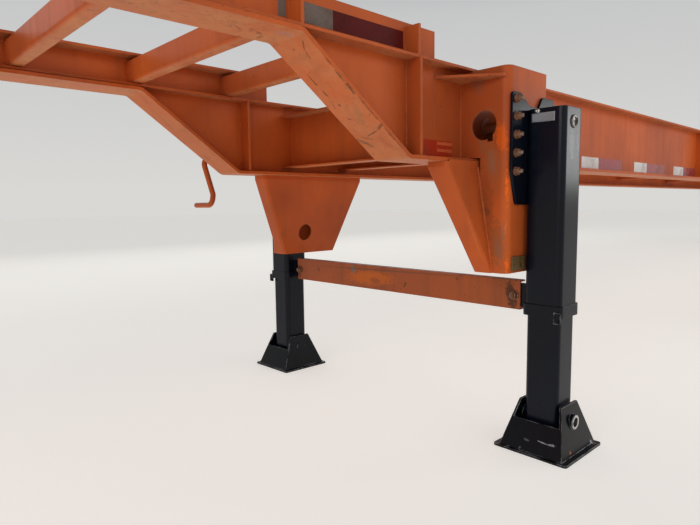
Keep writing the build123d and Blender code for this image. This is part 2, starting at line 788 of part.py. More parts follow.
def equalizers():
    x, pad = tandem_x, spring_tip_z + pin_clearance
    points = [(x + 60, pad + 55), (x + 118, pad), (x + 150, pad), (x + 150, pad + 30)]
    points.append((x + 40, rocker_pin_z + 48))
    points += [(2 * x - along, z) for along, z in reversed(points)]
    run_y = (rail_offset - spring_width / 2, rail_offset + spring_width / 2)
    pin_run = [(x, y, rocker_pin_z) for y in (run_y[0] - 1, run_y[1] + 1)]
    pin = rod(*pin_run, rocker_pin_radius + pin_clearance)
    return pair(prism("y", points, *run_y) - pin)


def torque_arms():
    y = rail_offset
    result = Part()
    for axle, hanger_x in ((front_axle_x, hanger_places[0]), (rear_axle_x, hanger_places[1])):
        z_hanger = spring_tip_z - 45
        z_axle = axle_height - 20
        near, far = (axle + 95, y, z_axle), (hanger_x, y, z_hanger)
        arm = rod(near, far, 17)
        for point in (near, far):
            eye = spring_width / 2 + hanger_clearance - pin_clearance
            arm += rod((point[0], y - eye, point[2]), (point[0], y + eye, point[2]), 28)
        result += arm
    return pair(result)


def axle_beam(x):
    beam_end = drum_inner - 6
    beam = rod((x, -beam_end, axle_height), (x, beam_end, axle_height), axle_radius)
    spindle_end = track_half + 60
    for side in (1, -1):
        beam += rod((x, side * beam_end, axle_height), (x, side * spindle_end, axle_height), spindle_radius)
        y = side * rail_offset
        seat_y = (y - spring_width / 2 - 6, y + spring_width / 2 + 6)
        beam += block((x - 85, x + 85), seat_y, (axle_height + axle_radius - 30, spring_base - seam))
        clamp_z = axle_height - axle_radius
        beam += block((x - 70, x + 70), seat_y, (clamp_z - 14, clamp_z + 20))
        ear = [(x + 40, axle_height - 75), (x + 100, axle_height - 52), (x + 128, axle_height - 15)]
        ear += [(x + 100, axle_height + 14), (x + 40, axle_height + 40)]
        ear_gap = spring_width / 2 + hanger_clearance
        for y_low in (y - ear_gap - 8, y + ear_gap):
            beam += prism("y", ear, y_low, y_low + 8)
        plate_x = x + chamber_plate_x
        plate_y = (side * chamber_y - 62, side * chamber_y + 62)
        plate_z = (axle_height, axle_height + chamber_height + 70)
        beam += block((plate_x, plate_x + chamber_plate), plate_y, plate_z)
        hole_z = axle_height + chamber_height
        hole_start = (plate_x - 1, side * chamber_y, hole_z)
        beam -= rod(hole_start, (plate_x + chamber_plate + 1, side * chamber_y, hole_z), 20)
        spider_run = [(x, side * (beam_end - inset), axle_height) for inset in (26, 14)]
        spider = rod(*spider_run, drum_radius - 24)
        beam += spider - rod((x - cam_x, -beam_end, axle_height), (x - cam_x, beam_end, axle_height), 20)
    return beam


# Brake chambers in front of their plates on the axle, with push rods to the slack adjusters
def brake_chambers():
    result = Part()
    for axle in (front_axle_x, rear_axle_x):
        x, y, z = axle + chamber_plate_x + chamber_plate, chamber_y, axle_height + chamber_height
        body = [(seam, 0), (seam, 62), (40, 82), (78, 84), (78, 92), (90, 92), (90, 84)]
        body += [(150, 78), (165, 40), (165, 0)]
        chamber = turned(body, (x, y, z), (1, 0, 0))
        push_end = axle - cam_x
        arm = rod((x + seam, y, z), (push_end, y, z), 8)
        adjuster = [(push_end - 18, z + 16), (push_end + 18, z + 16), (push_end + 30, axle_height - 30)]
        adjuster.append((push_end - 30, axle_height - 30))
        lever = prism("y", adjuster, y - 14, y + 14)
        shaft = rod((push_end, y, axle_height), (push_end, drum_inner - 6, axle_height), 17)
        result += chamber + arm + lever + shaft
    return pair(result)


# Air tank: a cylinder with domed ends, strapped across a cross-member
def air_tank():
    x, z = tank_member_x - 128, light_member_bottom + 76
    radius, half, dome = 120, 300, 36
    points = [(-half, 0), (-half, 40), (-half + dome * 0.6, 92), (-half + dome * 1.6, radius)]
    points += [(-along, r) for along, r in reversed(points)]
    tank = turned(points, (x, 0, z))
    for y in (-170, 170):
        tank += block((x, tank_member_x - seam), (y - 20, y + 20), (z - 30, z + 30))
    return tank


# Mud flaps on bars that stand out from the rails
def mud_flaps():
    x = rear_axle_x - tyre_radius - 110
    outer = overall_width / 2
    bar = block((x - 20, x + 20), (web_outer + seam, outer), (rail_bottom + 45, rail_bottom + 85))
    flap = block((x - 30, x - 20), (outer - 610, outer), (260, rail_bottom + 75))
    return pair(bar + flap)


# Wheels: two disc wheels back to back on the hub and drum, and their two tyres
def disc_wheel(axle, side, outer):
    # distances are from the meeting face of the two discs, outward positive
    centre = dual_spacing / 2 if outer else -dual_spacing / 2
    flip = 1 if outer else -1
    half = rim_width / 2
    seat, wall = rim_seat_radius, 8
    lip = seat + rim_flange_height
    profile = [
        (half, lip), (half - rim_flange_width, lip), (half - rim_flange_width, seat), (50, seat - 6),
        (38, seat - 34), (-38, seat - 34), (-50, seat - 6), (-half + rim_flange_width, seat),
        (-half + rim_flange_width, lip), (-half, lip),
        (-half, seat - wall), (-58, seat - wall - 6), (-44, seat - 34 - wall), (30, seat - 34 - wall),
        (56, seat - wall - 6), (half, seat - wall),
    ]
    ring = [(centre + flip * along, radius) for along, radius in profile]
    disc = [(0, 112), (0, 172), (34, 206), (96, 234), (140, 247), (158, 247), (112, 226), (50, 194)]
    disc += [(wheel_disc, 162), (wheel_disc, 112)]
    disc = [(flip * along, radius) for along, radius in disc]
    base = (axle, side * track_half, axle_height)
    dish = turned(disc, base, (0, side, 0))
    for i in range(hand_hole_count):
        angle = 2 * pi * (i + 0.5) / hand_hole_count
        x, z = axle + hand_hole_circle * cos(angle), axle_height + hand_hole_circle * sin(angle)
        hole_run = [(x, side * (track_half + reach), z) for reach in (-rim_width, rim_width)]
        dish -= rod(*hole_run, hand_hole_radius)
    return turned(ring, base, (0, side, 0)) + dish


def wheel(axle, side):
    base = (axle, side * track_half, axle_height)
    bore = spindle_radius + hub_clearance
    face = -wheel_disc
    back = face - 16
    hub = [(-150, bore), (-150, 64), (-90, 70), (-60, 104), (back, 104), (back, 160), (face, 160)]
    hub += [(face, 110), (24, 108), (30, 104), (34, 74), (88, 68), (96, 60), (100, 40), (100, 0), (62, 0)]
    hub.append((62, bore))
    rim = drum_radius
    drum = [(back, 100), (back, 150), (-50, 170), (-96, rim - 4), (-106, rim), (-240, rim), (-240, rim - 16)]
    drum += [(-108, rim - 16), (-98, rim - 20), (-52, 155), (back - 16, 140), (back - 16, 100)]
    core = turned(hub, base, (0, side, 0)) + turned(drum, base, (0, side, 0))
    return core + disc_wheel(axle, side, True) + disc_wheel(axle, side, False)


def tyres(axle, side):
    half, bead = tyre_width / 2, rim_seat_radius + pin_clearance
    flange = rim_width / 2 - rim_flange_width
    lip = rim_seat_radius + rim_flange_height + pin_clearance
    profile = [
        (-flange + 26, bead), (-flange + pin_clearance, bead), (-flange + pin_clearance, lip),
        (-flange - 14, lip + 2), (-half, bead + 105), (-half + 10, tyre_radius - 30),
        (-half + 34, tyre_radius - 4), (-half + 74, tyre_radius),
    ]
    profile += [(-along, radius) for along, radius in reversed(profile)]
    wall, crown = 16, 26
    inside = [(flange - 32, bead + 30), (half - wall, bead + 105)]
    inside.append((half - wall - 14, tyre_radius - crown - 14))
    profile += inside + [(-along, radius) for along, radius in reversed(inside)]
    result = Part()
    for centre in (dual_spacing / 2, -dual_spacing / 2):
        shifted = [(centre + along, radius) for along, radius in profile]
        result += turned(shifted, (axle, side * track_half, axle_height), (0, side, 0))
    return result


# Every node by its name
left_beam, left_gooseneck = main_beam(), gooseneck_rail()
left_bracket, left_gusset = leg_bracket(), leg_gusset()
left_outer, left_inner, left_foot = leg_outer_tube(), leg_inner_tube(), leg_foot()
nodes = {
    "left_main_beam": left_beam,
    "right_main_beam": mirrored(left_beam),
    "left_gooseneck_rail": left_gooseneck,
    "right_gooseneck_rail": mirrored(left_gooseneck),
    "gooseneck_crossmembers": neck_members(),
    "main_crossmembers": main_members(),
    "coupler_plate": coupler_plate(),
    "kingpin": kingpin(),
    "front_bolster": front_bolster(),
    "front_lock_pins": front_pins(),
    "service_couplings": service_couplings(),
    "left_leg_bracket": left_bracket,
    "right_leg_bracket": mirrored(left_bracket),
    "left_leg_gusset": left_gusset,
    "right_leg_gusset": mirrored(left_gusset),
    "left_leg_outer_tube": left_outer,
    "right_leg_outer_tube": mirrored(left_outer),
    "left_leg_inner_tube": left_inner,
    "right_leg_inner_tube": mirrored(left_inner),
    "left_leg_foot": left_foot,
    "right_leg_foot": mirrored(left_foot),
    "leg_gearbox": gearbox(),
    "leg_cross_shaft": cross_shaft(),
    "leg_crank_handle": crank_handle(),
    "leg_cross_brace": cross_brace(),
    "rear_bolster": rear_bolster(),
    "twist_locks": twist_locks(),
    "tail_lamps": tail_lamps(),
    "underride_guard": underride_guard(),
    "suspension_hangers": hangers(),
    "leaf_springs": springs(),
    "equalizers": equalizers(),
    "torque_arms": torque_arms(),
    "front_axle_beam": axle_beam(front_axle_x),
    "rear_axle_beam": axle_beam(rear_axle_x),
    "brake_chambers": brake_chambers(),
    "air_tank": air_tank(),
    "mud_flaps": mud_flaps(),
}
for place, axle in (("front", front_axle_x), ("rear", rear_axle_x)):
    for hand, side in (("left", 1), ("right", -1)):
        nodes[f"{place}_{hand}_wheels"] = wheel(axle, side)
        nodes[f"{place}_{hand}_tyres"] = tyres(axle, side)

os.makedirs("parts", exist_ok=True)
for name, shape in nodes.items():
    export_step(shape, f"parts/{name}.step")
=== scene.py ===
import json
from math import atan2, cos, hypot, pi, radians, sin

import bpy
from mathutils import Euler, Matrix, Vector


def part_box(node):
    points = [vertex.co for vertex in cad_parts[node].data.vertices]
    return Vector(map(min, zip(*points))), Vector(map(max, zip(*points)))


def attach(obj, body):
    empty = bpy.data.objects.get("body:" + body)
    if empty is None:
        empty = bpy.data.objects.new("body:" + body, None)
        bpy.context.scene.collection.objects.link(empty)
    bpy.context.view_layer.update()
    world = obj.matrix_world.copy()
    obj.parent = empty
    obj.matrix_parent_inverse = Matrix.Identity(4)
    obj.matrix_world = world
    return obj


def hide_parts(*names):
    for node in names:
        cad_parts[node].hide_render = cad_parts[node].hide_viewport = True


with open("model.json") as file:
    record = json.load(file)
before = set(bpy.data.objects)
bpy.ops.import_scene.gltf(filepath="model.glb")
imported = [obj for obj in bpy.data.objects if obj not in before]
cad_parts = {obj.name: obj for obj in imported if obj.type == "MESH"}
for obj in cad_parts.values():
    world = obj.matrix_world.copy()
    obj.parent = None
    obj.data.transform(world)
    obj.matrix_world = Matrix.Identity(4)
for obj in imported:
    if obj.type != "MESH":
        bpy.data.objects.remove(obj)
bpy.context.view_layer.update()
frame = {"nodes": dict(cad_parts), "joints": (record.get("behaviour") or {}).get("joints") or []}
print("frame loaded")

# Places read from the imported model, in metres
tubeLow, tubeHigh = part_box("left_leg_inner_tube")
legX = (tubeLow.x + tubeHigh.x) / 2
legY = (tubeLow.y + tubeHigh.y) / 2
outerHalf = 0.0635  # outer tube, five inches square
beamLow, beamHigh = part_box("left_main_beam")
railY = (beamLow.y + beamHigh.y) / 2
webOuter = railY + 0.004  # half the web's thickness outboard of the rail's middle
bolsterLow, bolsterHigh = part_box("rear_bolster")
noseLow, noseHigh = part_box("front_bolster")
wheelPlaces = {joint["child"]: Vector(joint["pos_m"]) for joint in frame["joints"]}
axlePlaces = sorted({round(place.x, 4) for place in wheelPlaces.values()}, reverse=True)
frontAxle, rearAxle = axlePlaces
tandemX = (frontAxle + rearAxle) / 2
hangerReach = 0.472  # from each axle to the hanger at its spring's outer end
hands = (1, -1)  # left side, right side


# Modelling helpers
def deselect():
    if bpy.context.mode != "OBJECT":
        bpy.ops.object.mode_set(mode="OBJECT")
    bpy.ops.object.select_all(action="DESELECT")


def pick(*things):
    deselect()
    for thing in things:
        thing.select_set(True)
    bpy.context.view_layer.objects.active = things[0]


def editFaces(piece, test):
    # opens the piece in edit mode with only the faces selected that pass the test
    pick(piece)
    bpy.ops.object.mode_set(mode="EDIT")
    bpy.ops.mesh.select_mode(type="FACE")
    bpy.ops.mesh.select_all(action="DESELECT")
    bpy.ops.object.mode_set(mode="OBJECT")
    for face in piece.data.polygons:
        face.select = test(face)
    bpy.ops.object.mode_set(mode="EDIT")


def addRod(sides, radius, low, high, topInset=0.0):
    # an upright bar from low to high on the Z axis, its top edge turned in and raised by 0.6 of the inset
    deselect()
    bpy.ops.mesh.primitive_cylinder_add(
        vertices=sides, radius=radius, depth=high - low, location=(0, 0, (low + high) / 2)
    )
    rod = bpy.context.object
    bpy.ops.object.transform_apply(location=True)
    if topInset:
        editFaces(rod, lambda face: face.normal.z > 0.9)
        bpy.ops.mesh.inset(thickness=topInset)
        bpy.ops.transform.translate(value=(0, 0, topInset * 0.6))
        bpy.ops.object.mode_set(mode="OBJECT")
    return rod


def applyLast(piece):
    bpy.ops.object.modifier_apply(modifier=piece.modifiers[-1].name)


def addBlock(low, high, bevel, segments=2):
    deselect()
    centre = [(a + b) / 2 for a, b in zip(low, high)]
    size = [abs(b - a) for a, b in zip(low, high)]
    bpy.ops.mesh.primitive_cube_add(size=1, location=centre, scale=size)
    block = bpy.context.object
    bpy.ops.object.transform_apply(location=True, scale=True)
    bpy.ops.object.modifier_add(type="BEVEL")
    block.modifiers[-1].width = bevel
    block.modifiers[-1].segments = segments
    applyLast(block)
    return block


def sinkFront(plate, look):
    # the middle of the plate's front face goes back, inside a rim
    editFaces(plate, lambda face: face.normal.x > 0.9 and face.area > look["frontArea"])
    bpy.ops.mesh.inset(thickness=look["rim"])
    bpy.ops.transform.translate(value=(-look["depth"], 0, 0))
    bpy.ops.object.mode_set(mode="OBJECT")


def joined(*parts):
    pick(*parts)
    if len(parts) > 1:
        bpy.ops.object.join()
    return bpy.context.view_layer.objects.active


def standing(place, direction, turn=0.0):
    # the matrix that stands a piece made along Z at a place, pointing the given way
    tilt = Vector((0, 0, 1)).rotation_difference(Vector(direction)).to_matrix().to_4x4()
    return Matrix.Translation(place) @ tilt @ Matrix.Rotation(turn, 4, "Z")


def copies(piece, matrices):
    # one copy for each matrix, each with its own mesh, joined into one piece
    twins = []
    for matrix in matrices:
        twin = piece.copy()
        twin.data = piece.data.copy()
        twin.data.transform(matrix)
        bpy.context.scene.collection.objects.link(twin)
        twins.append(twin)
    bpy.data.objects.remove(piece)
    return joined(*twins)


def spunProfile(points, steps, closed=False):
    # points are (along the Z axis, radius): one chain of edges is drawn by extruding a point,
    # and then spun about Z
    spots = [Vector((radius, 0, along)) for along, radius in points]
    if closed:
        spots.append(spots[0])
    deselect()
    bpy.ops.mesh.primitive_plane_add(size=0.01, location=(0, 0, 0))
    piece = bpy.context.object
    bpy.ops.object.mode_set(mode="EDIT")
    bpy.ops.mesh.select_mode(type="VERT")
    bpy.ops.mesh.select_all(action="SELECT")
    bpy.ops.mesh.merge(type="CENTER")
    bpy.ops.transform.translate(value=spots[0])
    for here, there in zip(spots, spots[1:]):
        bpy.ops.mesh.extrude_region_move(TRANSFORM_OT_translate={"value": there - here})
    bpy.ops.mesh.select_all(action="SELECT")
    bpy.ops.mesh.spin(steps=steps, angle=2 * pi, center=(0, 0, 0), axis=(0, 0, 1))
    bpy.ops.mesh.select_all(action="SELECT")
    bpy.ops.mesh.remove_doubles(threshold=0.00005)
    bpy.ops.mesh.select_all(action="SELECT")
    bpy.ops.mesh.normals_make_consistent(inside=False)
    bpy.ops.object.mode_set(mode="OBJECT")
    return piece


def bentRod(route, radius):
    # a round bar along a route, each corner rounded by the spline
    curve = bpy.data.curves.new("bentRod", "CURVE")
    curve.dimensions = "3D"
    line = curve.splines.new("NURBS")
    line.points.add(len(route) - 1)
    for point, spot in zip(line.points, route):
        point.co = (*spot, 1)
    line.order_u = 3
    line.use_endpoint_u = True
    line.resolution_u = 5
    curve.bevel_depth = radius
    curve.bevel_resolution = 3
    curve.use_fill_caps = True
    bar = bpy.data.objects.new("bentRod", curve)
    bpy.context.scene.collection.objects.link(bar)
    pick(bar)
    bpy.ops.object.convert(target="MESH")
    return bpy.context.object


def finishPiece(piece, name, material, body="chassis", angle=35):
    pick(piece)
    bpy.ops.object.transform_apply(location=True, rotation=True, scale=True)
    bpy.ops.object.shade_smooth_by_angle(angle=radians(angle))
    piece.name = name
    piece.data.name = name
    piece.data.materials.clear()
    piece.data.materials.append(material)
    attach(piece, body)
    return piece


# Materials
def colour(code):
    # an sRGB hex value turned to linear
    parts = [int(code[i:i + 2], 16) / 255 for i in (0, 2, 4)]
    linear = [part / 12.92 if part <= 0.04045 else ((part + 0.055) / 1.055) ** 2.4 for part in parts]
    return (*linear, 1.0)


def addNode(tree, kind, inputs=None, output=0, **settings):
    # an input is a number, a hex colour or another node's output; the new node's own output comes back
    node = tree.nodes.new("ShaderNode" + kind)
    for name, value in settings.items():
        setattr(node, name, value)
    for key, value in (inputs or {}).items():
        if isinstance(value, bpy.types.NodeSocket):
            tree.links.new(value, node.inputs[key])
        else:
            node.inputs[key].default_value = colour(value) if isinstance(value, str) else value
    return node.outputs[output] if node.outputs else None


def newMaterial(name):
    # gives back the material, its tree and the place of each point on the object
    material = bpy.data.materials.new(name)
    material.use_nodes = True
    material.node_tree.nodes.clear()
    return material, material.node_tree, addNode(material.node_tree, "TexCoord", output="Object")


def finishMaterial(material, tree, surface):
    shader = addNode(tree, "BsdfPrincipled", surface)
    addNode(tree, "OutputMaterial", {"Surface": shader})
    return material


def overlaid(tree, place, size, detail, reach, colours, within=None, roughness=0.5):
    # noise with features of this size in metres lays the second colour over the first; reach is the noise
    # where that starts, where it is full, and how full, and the mix and its share come back
    # (a colour mix has its share at input 0, its colours at 6 and 7 and its result at output 2)
    start, full, most = reach
    noiseLook = {"Scale": 1 / size, "Detail": detail, "Roughness": roughness}
    noise = addNode(tree, "TexNoise", {"Vector": place, **noiseLook})
    share = addNode(tree, "MapRange", {"Value": noise, "From Min": start, "From Max": full, "To Max": most})
    if within is not None:
        share = addNode(tree, "Math", {0: share, 1: within}, operation="MULTIPLY")
    return addNode(tree, "Mix", {0: share, 6: colours[0], 7: colours[1]}, 2, data_type="RGBA"), share


def paintedSteel(name, look):
    # sprayed paint over steel: mottled by the sun, streaked by rain, paler below from dust and painted
    # bounce light, chipped to rust and rubbed at the edges
    material, tree, place = newMaterial(name)
    facing = addNode(tree, "NewGeometry", output="Normal")
    softEdge = addNode(tree, "Bevel", {"Radius": look["edgeRadius"]}, samples=4)

    tones = (look["base"], look["mottle"])
    coat = overlaid(tree, place, look["mottleSize"], 4, (0.36, 0.66, 1), tones)[0]
    # undersides are paler, from road dust and painted bounce light from the floor, thinner in cloudy patches
    up = addNode(tree, "SeparateXYZ", {0: facing}, 2)
    underRange = {"From Min": -0.55, "From Max": -0.95, "To Max": look["dustAmount"]}
    under = addNode(tree, "MapRange", {"Value": up, **underRange})
    tones = (coat, look["dust"])
    coat, dustAndBounceShare = overlaid(tree, place, look["dustSize"], 6, (0.22, 0.62, 1), tones, under, 0.7)
    # and dark flecks of grit thrown up by tyres
    tones = (coat, look["grit"])
    coat = overlaid(tree, place, look["gritSize"], 3, (0.63, 0.70, 0.75), tones, under)[0]
    # rain streaks run down the walls
    drawnOut = addNode(tree, "Mapping", {"Vector": place, "Scale": (1, 1, look["streakStretch"])})
    reach = (0.5, 0.8, look["streakAmount"])
    coat, streakShare = overlaid(tree, drawnOut, look["streakWidth"], 3, reach, (coat, look["streak"]))
    # scrapes and stains, each a long soft spot between two places with a ragged edge
    # some marks are painted highlights, painted sheen and painted shade rather than scrapes or stains
    ragged = addNode(tree, "TexNoise", {"Vector": place, "Scale": 1 / look["raggedSize"], "Detail": 3.0})
    for start, end, width, tone, amount in look["marks"]:
        start, end = Vector(start), Vector(end)
        run = end - start
        turn = run.to_track_quat("X", "Z").to_euler()
        size = (run.length / 2 + width, width, width)
        spot = {"Location": (start + end) / 2, "Rotation": turn, "Scale": size}
        local = addNode(tree, "Mapping", {"Vector": place, **spot}, vector_type="TEXTURE")
        away = addNode(tree, "VectorMath", {0: local}, 1, operation="LENGTH")
        uneven = addNode(tree, "Math", {0: ragged, 1: 1.5, 2: away}, operation="MULTIPLY_ADD")
        spotRange = {"From Min": 1.75, "From Max": 1.35, "To Max": amount}
        share = addNode(tree, "MapRange", {"Value": uneven, **spotRange})
        coat = addNode(tree, "Mix", {0: share, 6: coat, 7: tone}, 2, data_type="RGBA")
    # chips: small flecks through to rusty steel
    reach = (look["chipFrom"], look["chipFrom"] + 0.02, 1)
    coat, chipShare = overlaid(tree, place, look["chipSize"], 2, reach, (coat, look["rust"]))
    # edges: the paint is thin there, so they are paler, with rust in places
    # on the feet and collar clips the pale edge colour is also a painted highlight
    turned = addNode(tree, "VectorMath", {0: softEdge, 1: facing}, 1, operation="DOT_PRODUCT")
    edgeNoise = addNode(tree, "TexNoise", {"Vector": place, "Scale": 1 / look["edgeSize"], "Detail": 4.0})
    lineRange = {"From Min": 0.985, "From Max": 0.86, "To Max": look["edgeAmount"]}
    edgeLine = addNode(tree, "MapRange", {"Value": turned, **lineRange})
    edgePatch = addNode(tree, "MapRange", {"Value": edgeNoise, "From Min": 0.4, "From Max": 0.6})
    share = addNode(tree, "Math", {0: edgeLine, 1: edgePatch}, operation="MULTIPLY")
    edgeRust = addNode(tree, "MapRange", {"Value": edgeNoise, "From Min": 0.62, "From Max": 0.68})
    edge = addNode(tree, "Mix", {0: edgeRust, 6: look["edge"], 7: look["rust"]}, 2, data_type="RGBA")
    coat = addNode(tree, "Mix", {0: share, 6: coat, 7: edge}, 2, data_type="RGBA")
    # gloss is lost where dust, streaks and chips lie
    low, high = look["roughness"]
    dull = addNode(tree, "Math", {0: dustAndBounceShare, 1: chipShare}, operation="MAXIMUM")
    dull = addNode(tree, "Math", {0: dull, 1: streakShare}, operation="MAXIMUM")
    roughness = addNode(tree, "MapRange", {"Value": dull, "To Min": low, "To Max": high})
    # a sprayed coat has orange peel, rolled plate waves a little, and chips leave small pits
    peel = addNode(tree, "TexNoise", {"Vector": place, "Scale": 1 / look["peelSize"], "Detail": 1.0})
    pits = addNode(tree, "Math", {0: chipShare, 1: -0.8, 2: peel}, operation="MULTIPLY_ADD")
    wave = addNode(tree, "TexNoise", {"Vector": place, "Scale": 1 / look["waveSize"], "Detail": 1.0})
    waves = addNode(tree, "Bump", {"Strength": 0.35, "Distance": 0.004, "Height": wave, "Normal": softEdge})
    reliefLook = {"Strength": look["peelAmount"], "Distance": 0.0006}
    relief = addNode(tree, "Bump", {**reliefLook, "Height": pits, "Normal": waves})
    surface = {"Base Color": coat, "Roughness": roughness, "IOR": 1.5, "Normal": relief}
    surface["Specular IOR Level"] = look["sheen"]
    return finishMaterial(material, tree, surface)


enamelLook = {
    "base": "C85E28",
    "mottle": "A94E26",
    "mottleSize": 0.45,
    # the pale underside tone: road dust and painted bounce light from the floor
    "dust": "C68458",
    "dustAmount": 0.85,
    "dustSize": 0.10,
    "grit": "6B4634",
    "gritSize": 0.012,
    "streak": "7A4630",
    "streakAmount": 0.3,
    "streakWidth": 0.035,
    "streakStretch": 0.08,
    "marks": [],
    "raggedSize": 0.009,
    "chipSize": 0.012,
    "chipFrom": 0.76,
    "rust": "4A2A1B",
    "edge": "D58A5E",
    "edgeAmount": 0.7,
    "edgeSize": 0.05,
    "edgeRadius": 0.0025,
    "peelSize": 0.003,
    "peelAmount": 0.15,
    "waveSize": 0.22,
    "roughness": (0.38, 0.66),
    "sheen": 0.12,
}
orangeEnamel = paintedSteel("orangeEnamel", enamelLook)


def fromLegs(*marks):
    # each mark is start, end, width, colour and strength; places along the trailer are from the legs' axis
    return [
        ((legX + a[0], a[1], a[2]), (legX + b[0], b[1], b[2]), width, tone, amount)
        for a, b, width, tone, amount in marks
    ]


darkScrape, softScrape, bendHighlight = "523722", "7C5638", "F26A12"
rampMarks = fromLegs(
    ((0.863, 0.500, 1.222), (0.842, 0.480, 1.207), 0.0025, darkScrape, 0.64),
    ((0.842, 0.480, 1.207), (0.817, 0.475, 1.189), 0.0025, darkScrape, 0.64),
    ((0.812, 0.523, 1.186), (0.790, 0.523, 1.170), 0.0032, darkScrape, 0.51),
    ((0.777, 0.521, 1.160), (0.745, 0.519, 1.137), 0.0045, darkScrape, 0.68),
    ((0.742, 0.521, 1.135), (0.706, 0.519, 1.109), 0.0057, darkScrape, 0.68),
    ((0.788, 0.418, 1.169), (0.743, 0.421, 1.136), 0.0032, darkScrape, 0.72),
    ((0.735, 0.422, 1.130), (0.715, 0.423, 1.116), 0.0039, darkScrape, 0.72),
    ((0.704, 0.420, 1.108), (0.678, 0.412, 1.090), 0.0032, softScrape, 0.68),
    ((0.688, 0.436, 1.096), (0.685, 0.437, 1.094), 0.0045, "5E3526", 0.77),
    ((0.644, 0.426, 1.064), (0.640, 0.431, 1.062), 0.0039, "7A3E28", 0.77),
    ((0.836, 0.453, 1.203), (0.834, 0.454, 1.202), 0.0039, "A0643F", 0.68),
    ((0.612, 0.522, 1.041), (0.597, 0.499, 1.031), 0.0057, darkScrape, 0.64),
    ((0.597, 0.499, 1.031), (0.579, 0.434, 1.018), 0.0032, darkScrape, 0.59),
    ((0.572, 0.392, 1.013), (0.558, 0.412, 1.003), 0.0096, softScrape, 0.72),
    ((0.580, 0.410, 1.019), (0.568, 0.449, 1.010), 0.0045, softScrape, 0.59),
    ((0.558, 0.412, 1.003), (0.542, 0.424, 0.992), 0.0057, softScrape, 0.68),
    ((0.676, 0.489, 1.088), (0.615, 0.460, 1.044), 0.0141, "96683F", 0.38),
    ((0.694, 0.523, 1.101), (0.618, 0.523, 1.046), 0.0032, "7A3420", 0.68),
    ((0.593, 0.523, 1.028), (0.550, 0.523, 0.997), 0.0039, "5E2E1E", 0.68),
    ((0.955, 0.445, 1.235), (0.945, 0.440, 1.235), 0.0083, "6B4A38", 0.59),
    ((0.981, 0.453, 1.235), (0.975, 0.455, 1.235), 0.0057, "6B4A38", 0.51),
    ((0.932, 0.426, 1.235), (0.926, 0.398, 1.235), 0.0071, "7A4A32", 0.51),
    ((1.027, 0.456, 1.235), (0.995, 0.435, 1.235), 0.0051, "7A4A32", 0.42),
    ((0.915, 0.480, 1.235), (0.890, 0.476, 1.235), 0.0179, "A67C74", 0.47),
)
bracketMarks = fromLegs(
    ((0.158, 0.564, 0.799), (0.158, 0.568, 0.792), 0.013, "463D35", 0.85),
    ((0.158, 0.557, 0.860), (0.158, 0.562, 0.815), 0.011, "7A4528", 0.5),
    ((0.158, 0.575, 1.010), (0.158, 0.590, 0.880), 0.038, "A05A34", 0.6),
    ((0.158, 0.578, 0.985), (0.158, 0.588, 0.925), 0.018, "8A6852", 0.4),
    ((0.158, 0.555, 0.925), (0.158, 0.575, 0.730), 0.030, "964A26", 0.6),
    ((0.158, 0.594, 0.750), (0.158, 0.612, 0.640), 0.034, "94552F", 0.65),
    ((0.158, 0.604, 0.705), (0.158, 0.612, 0.655), 0.016, "88604C", 0.5),
    ((0.158, 0.628, 0.760), (0.158, 0.631, 0.690), 0.010, "8E6650", 0.4),
    # the next four marks are a painted highlight, bright orange, down the bracket's outboard bend
    ((0.157, 0.641, 1.060), (0.157, 0.641, 0.950), 0.009, bendHighlight, 0.85),
    ((0.156, 0.641, 0.950), (0.156, 0.640, 0.800), 0.013, bendHighlight, 0.95),
    ((0.156, 0.640, 0.800), (0.156, 0.635, 0.705), 0.008, "E0722A", 0.75),
    ((0.150, 0.640, 0.645), (0.150, 0.640, 0.605), 0.010, bendHighlight, 0.85),
    ((0.158, 0.612, 1.060), (0.158, 0.622, 1.000), 0.022, "DC5C14", 0.8),
    ((0.158, 0.540, 1.030), (0.158, 0.548, 0.995), 0.014, "9A5C3C", 0.6),
    # the front plate above the shelf is browner: painted shade with some dirt
    ((0.158, 0.530, 1.200), (0.158, 0.525, 1.245), 0.030, "8E5A40", 0.6),
    ((0.158, 0.590, 1.115), (0.158, 0.560, 1.124), 0.008, "9A5A38", 0.5),
    ((0.162, 0.527, 0.612), (0.162, 0.529, 0.603), 0.011, "8E8178", 0.85),
    # a painted highlight along the gusset's bend
    ((0.300, 0.529, 0.925), (0.190, 0.572, 0.640), 0.005, "DB8448", 0.22),
    ((0.250, 0.442, 0.897), (0.248, 0.443, 0.894), 0.007, "6B4A38", 0.8),
)
scuffedEnamelAndPaintedLight = paintedSteel("scuffedEnamelAndPaintedLight", dict(enamelLook, marks=rampMarks + bracketMarks))

braceMarks = fromLegs(
    ((0.020, -0.222, 0.545), (0.020, -0.208, 0.522), 0.014, "6F6A5E", 0.9),
    ((0.020, -0.454, 0.520), (0.020, -0.452, 0.512), 0.008, "6E3A26", 0.8),
    ((0.020, -0.230, 0.500), (0.020, 0.010, 0.510), 0.036, "C46220", 0.75),
    ((0.020, -0.100, 0.497), (0.020, -0.060, 0.494), 0.016, "8A4A2C", 0.7),
    ((0.020, 0.086, 0.482), (0.020, 0.098, 0.504), 0.005, "5E3526", 0.8),
    ((0.020, -0.590, 0.530), (0.020, 0.560, 0.557), 0.004, "5A463A", 0.5),
    ((0.020, 0.572, 0.535), (0.020, 0.588, 0.470), 0.024, "4A3022", 0.85),
    ((0.020, -0.618, 0.520), (0.020, -0.600, 0.480), 0.020, "5A3524", 0.8),
    ((0.020, 0.348, 0.543), (0.020, 0.352, 0.540), 0.007, "6E3A26", 0.7),
)
braceLook = dict(
    enamelLook, base="A9562E", mottle="935034", dustAmount=0.6, streak="70462F", streakAmount=0.55,
    streakWidth=0.05, chipFrom=0.71, chipSize=0.008, marks=braceMarks, edge="8A6A55",
)
wornEnamel = paintedSteel("wornEnamel", braceLook)
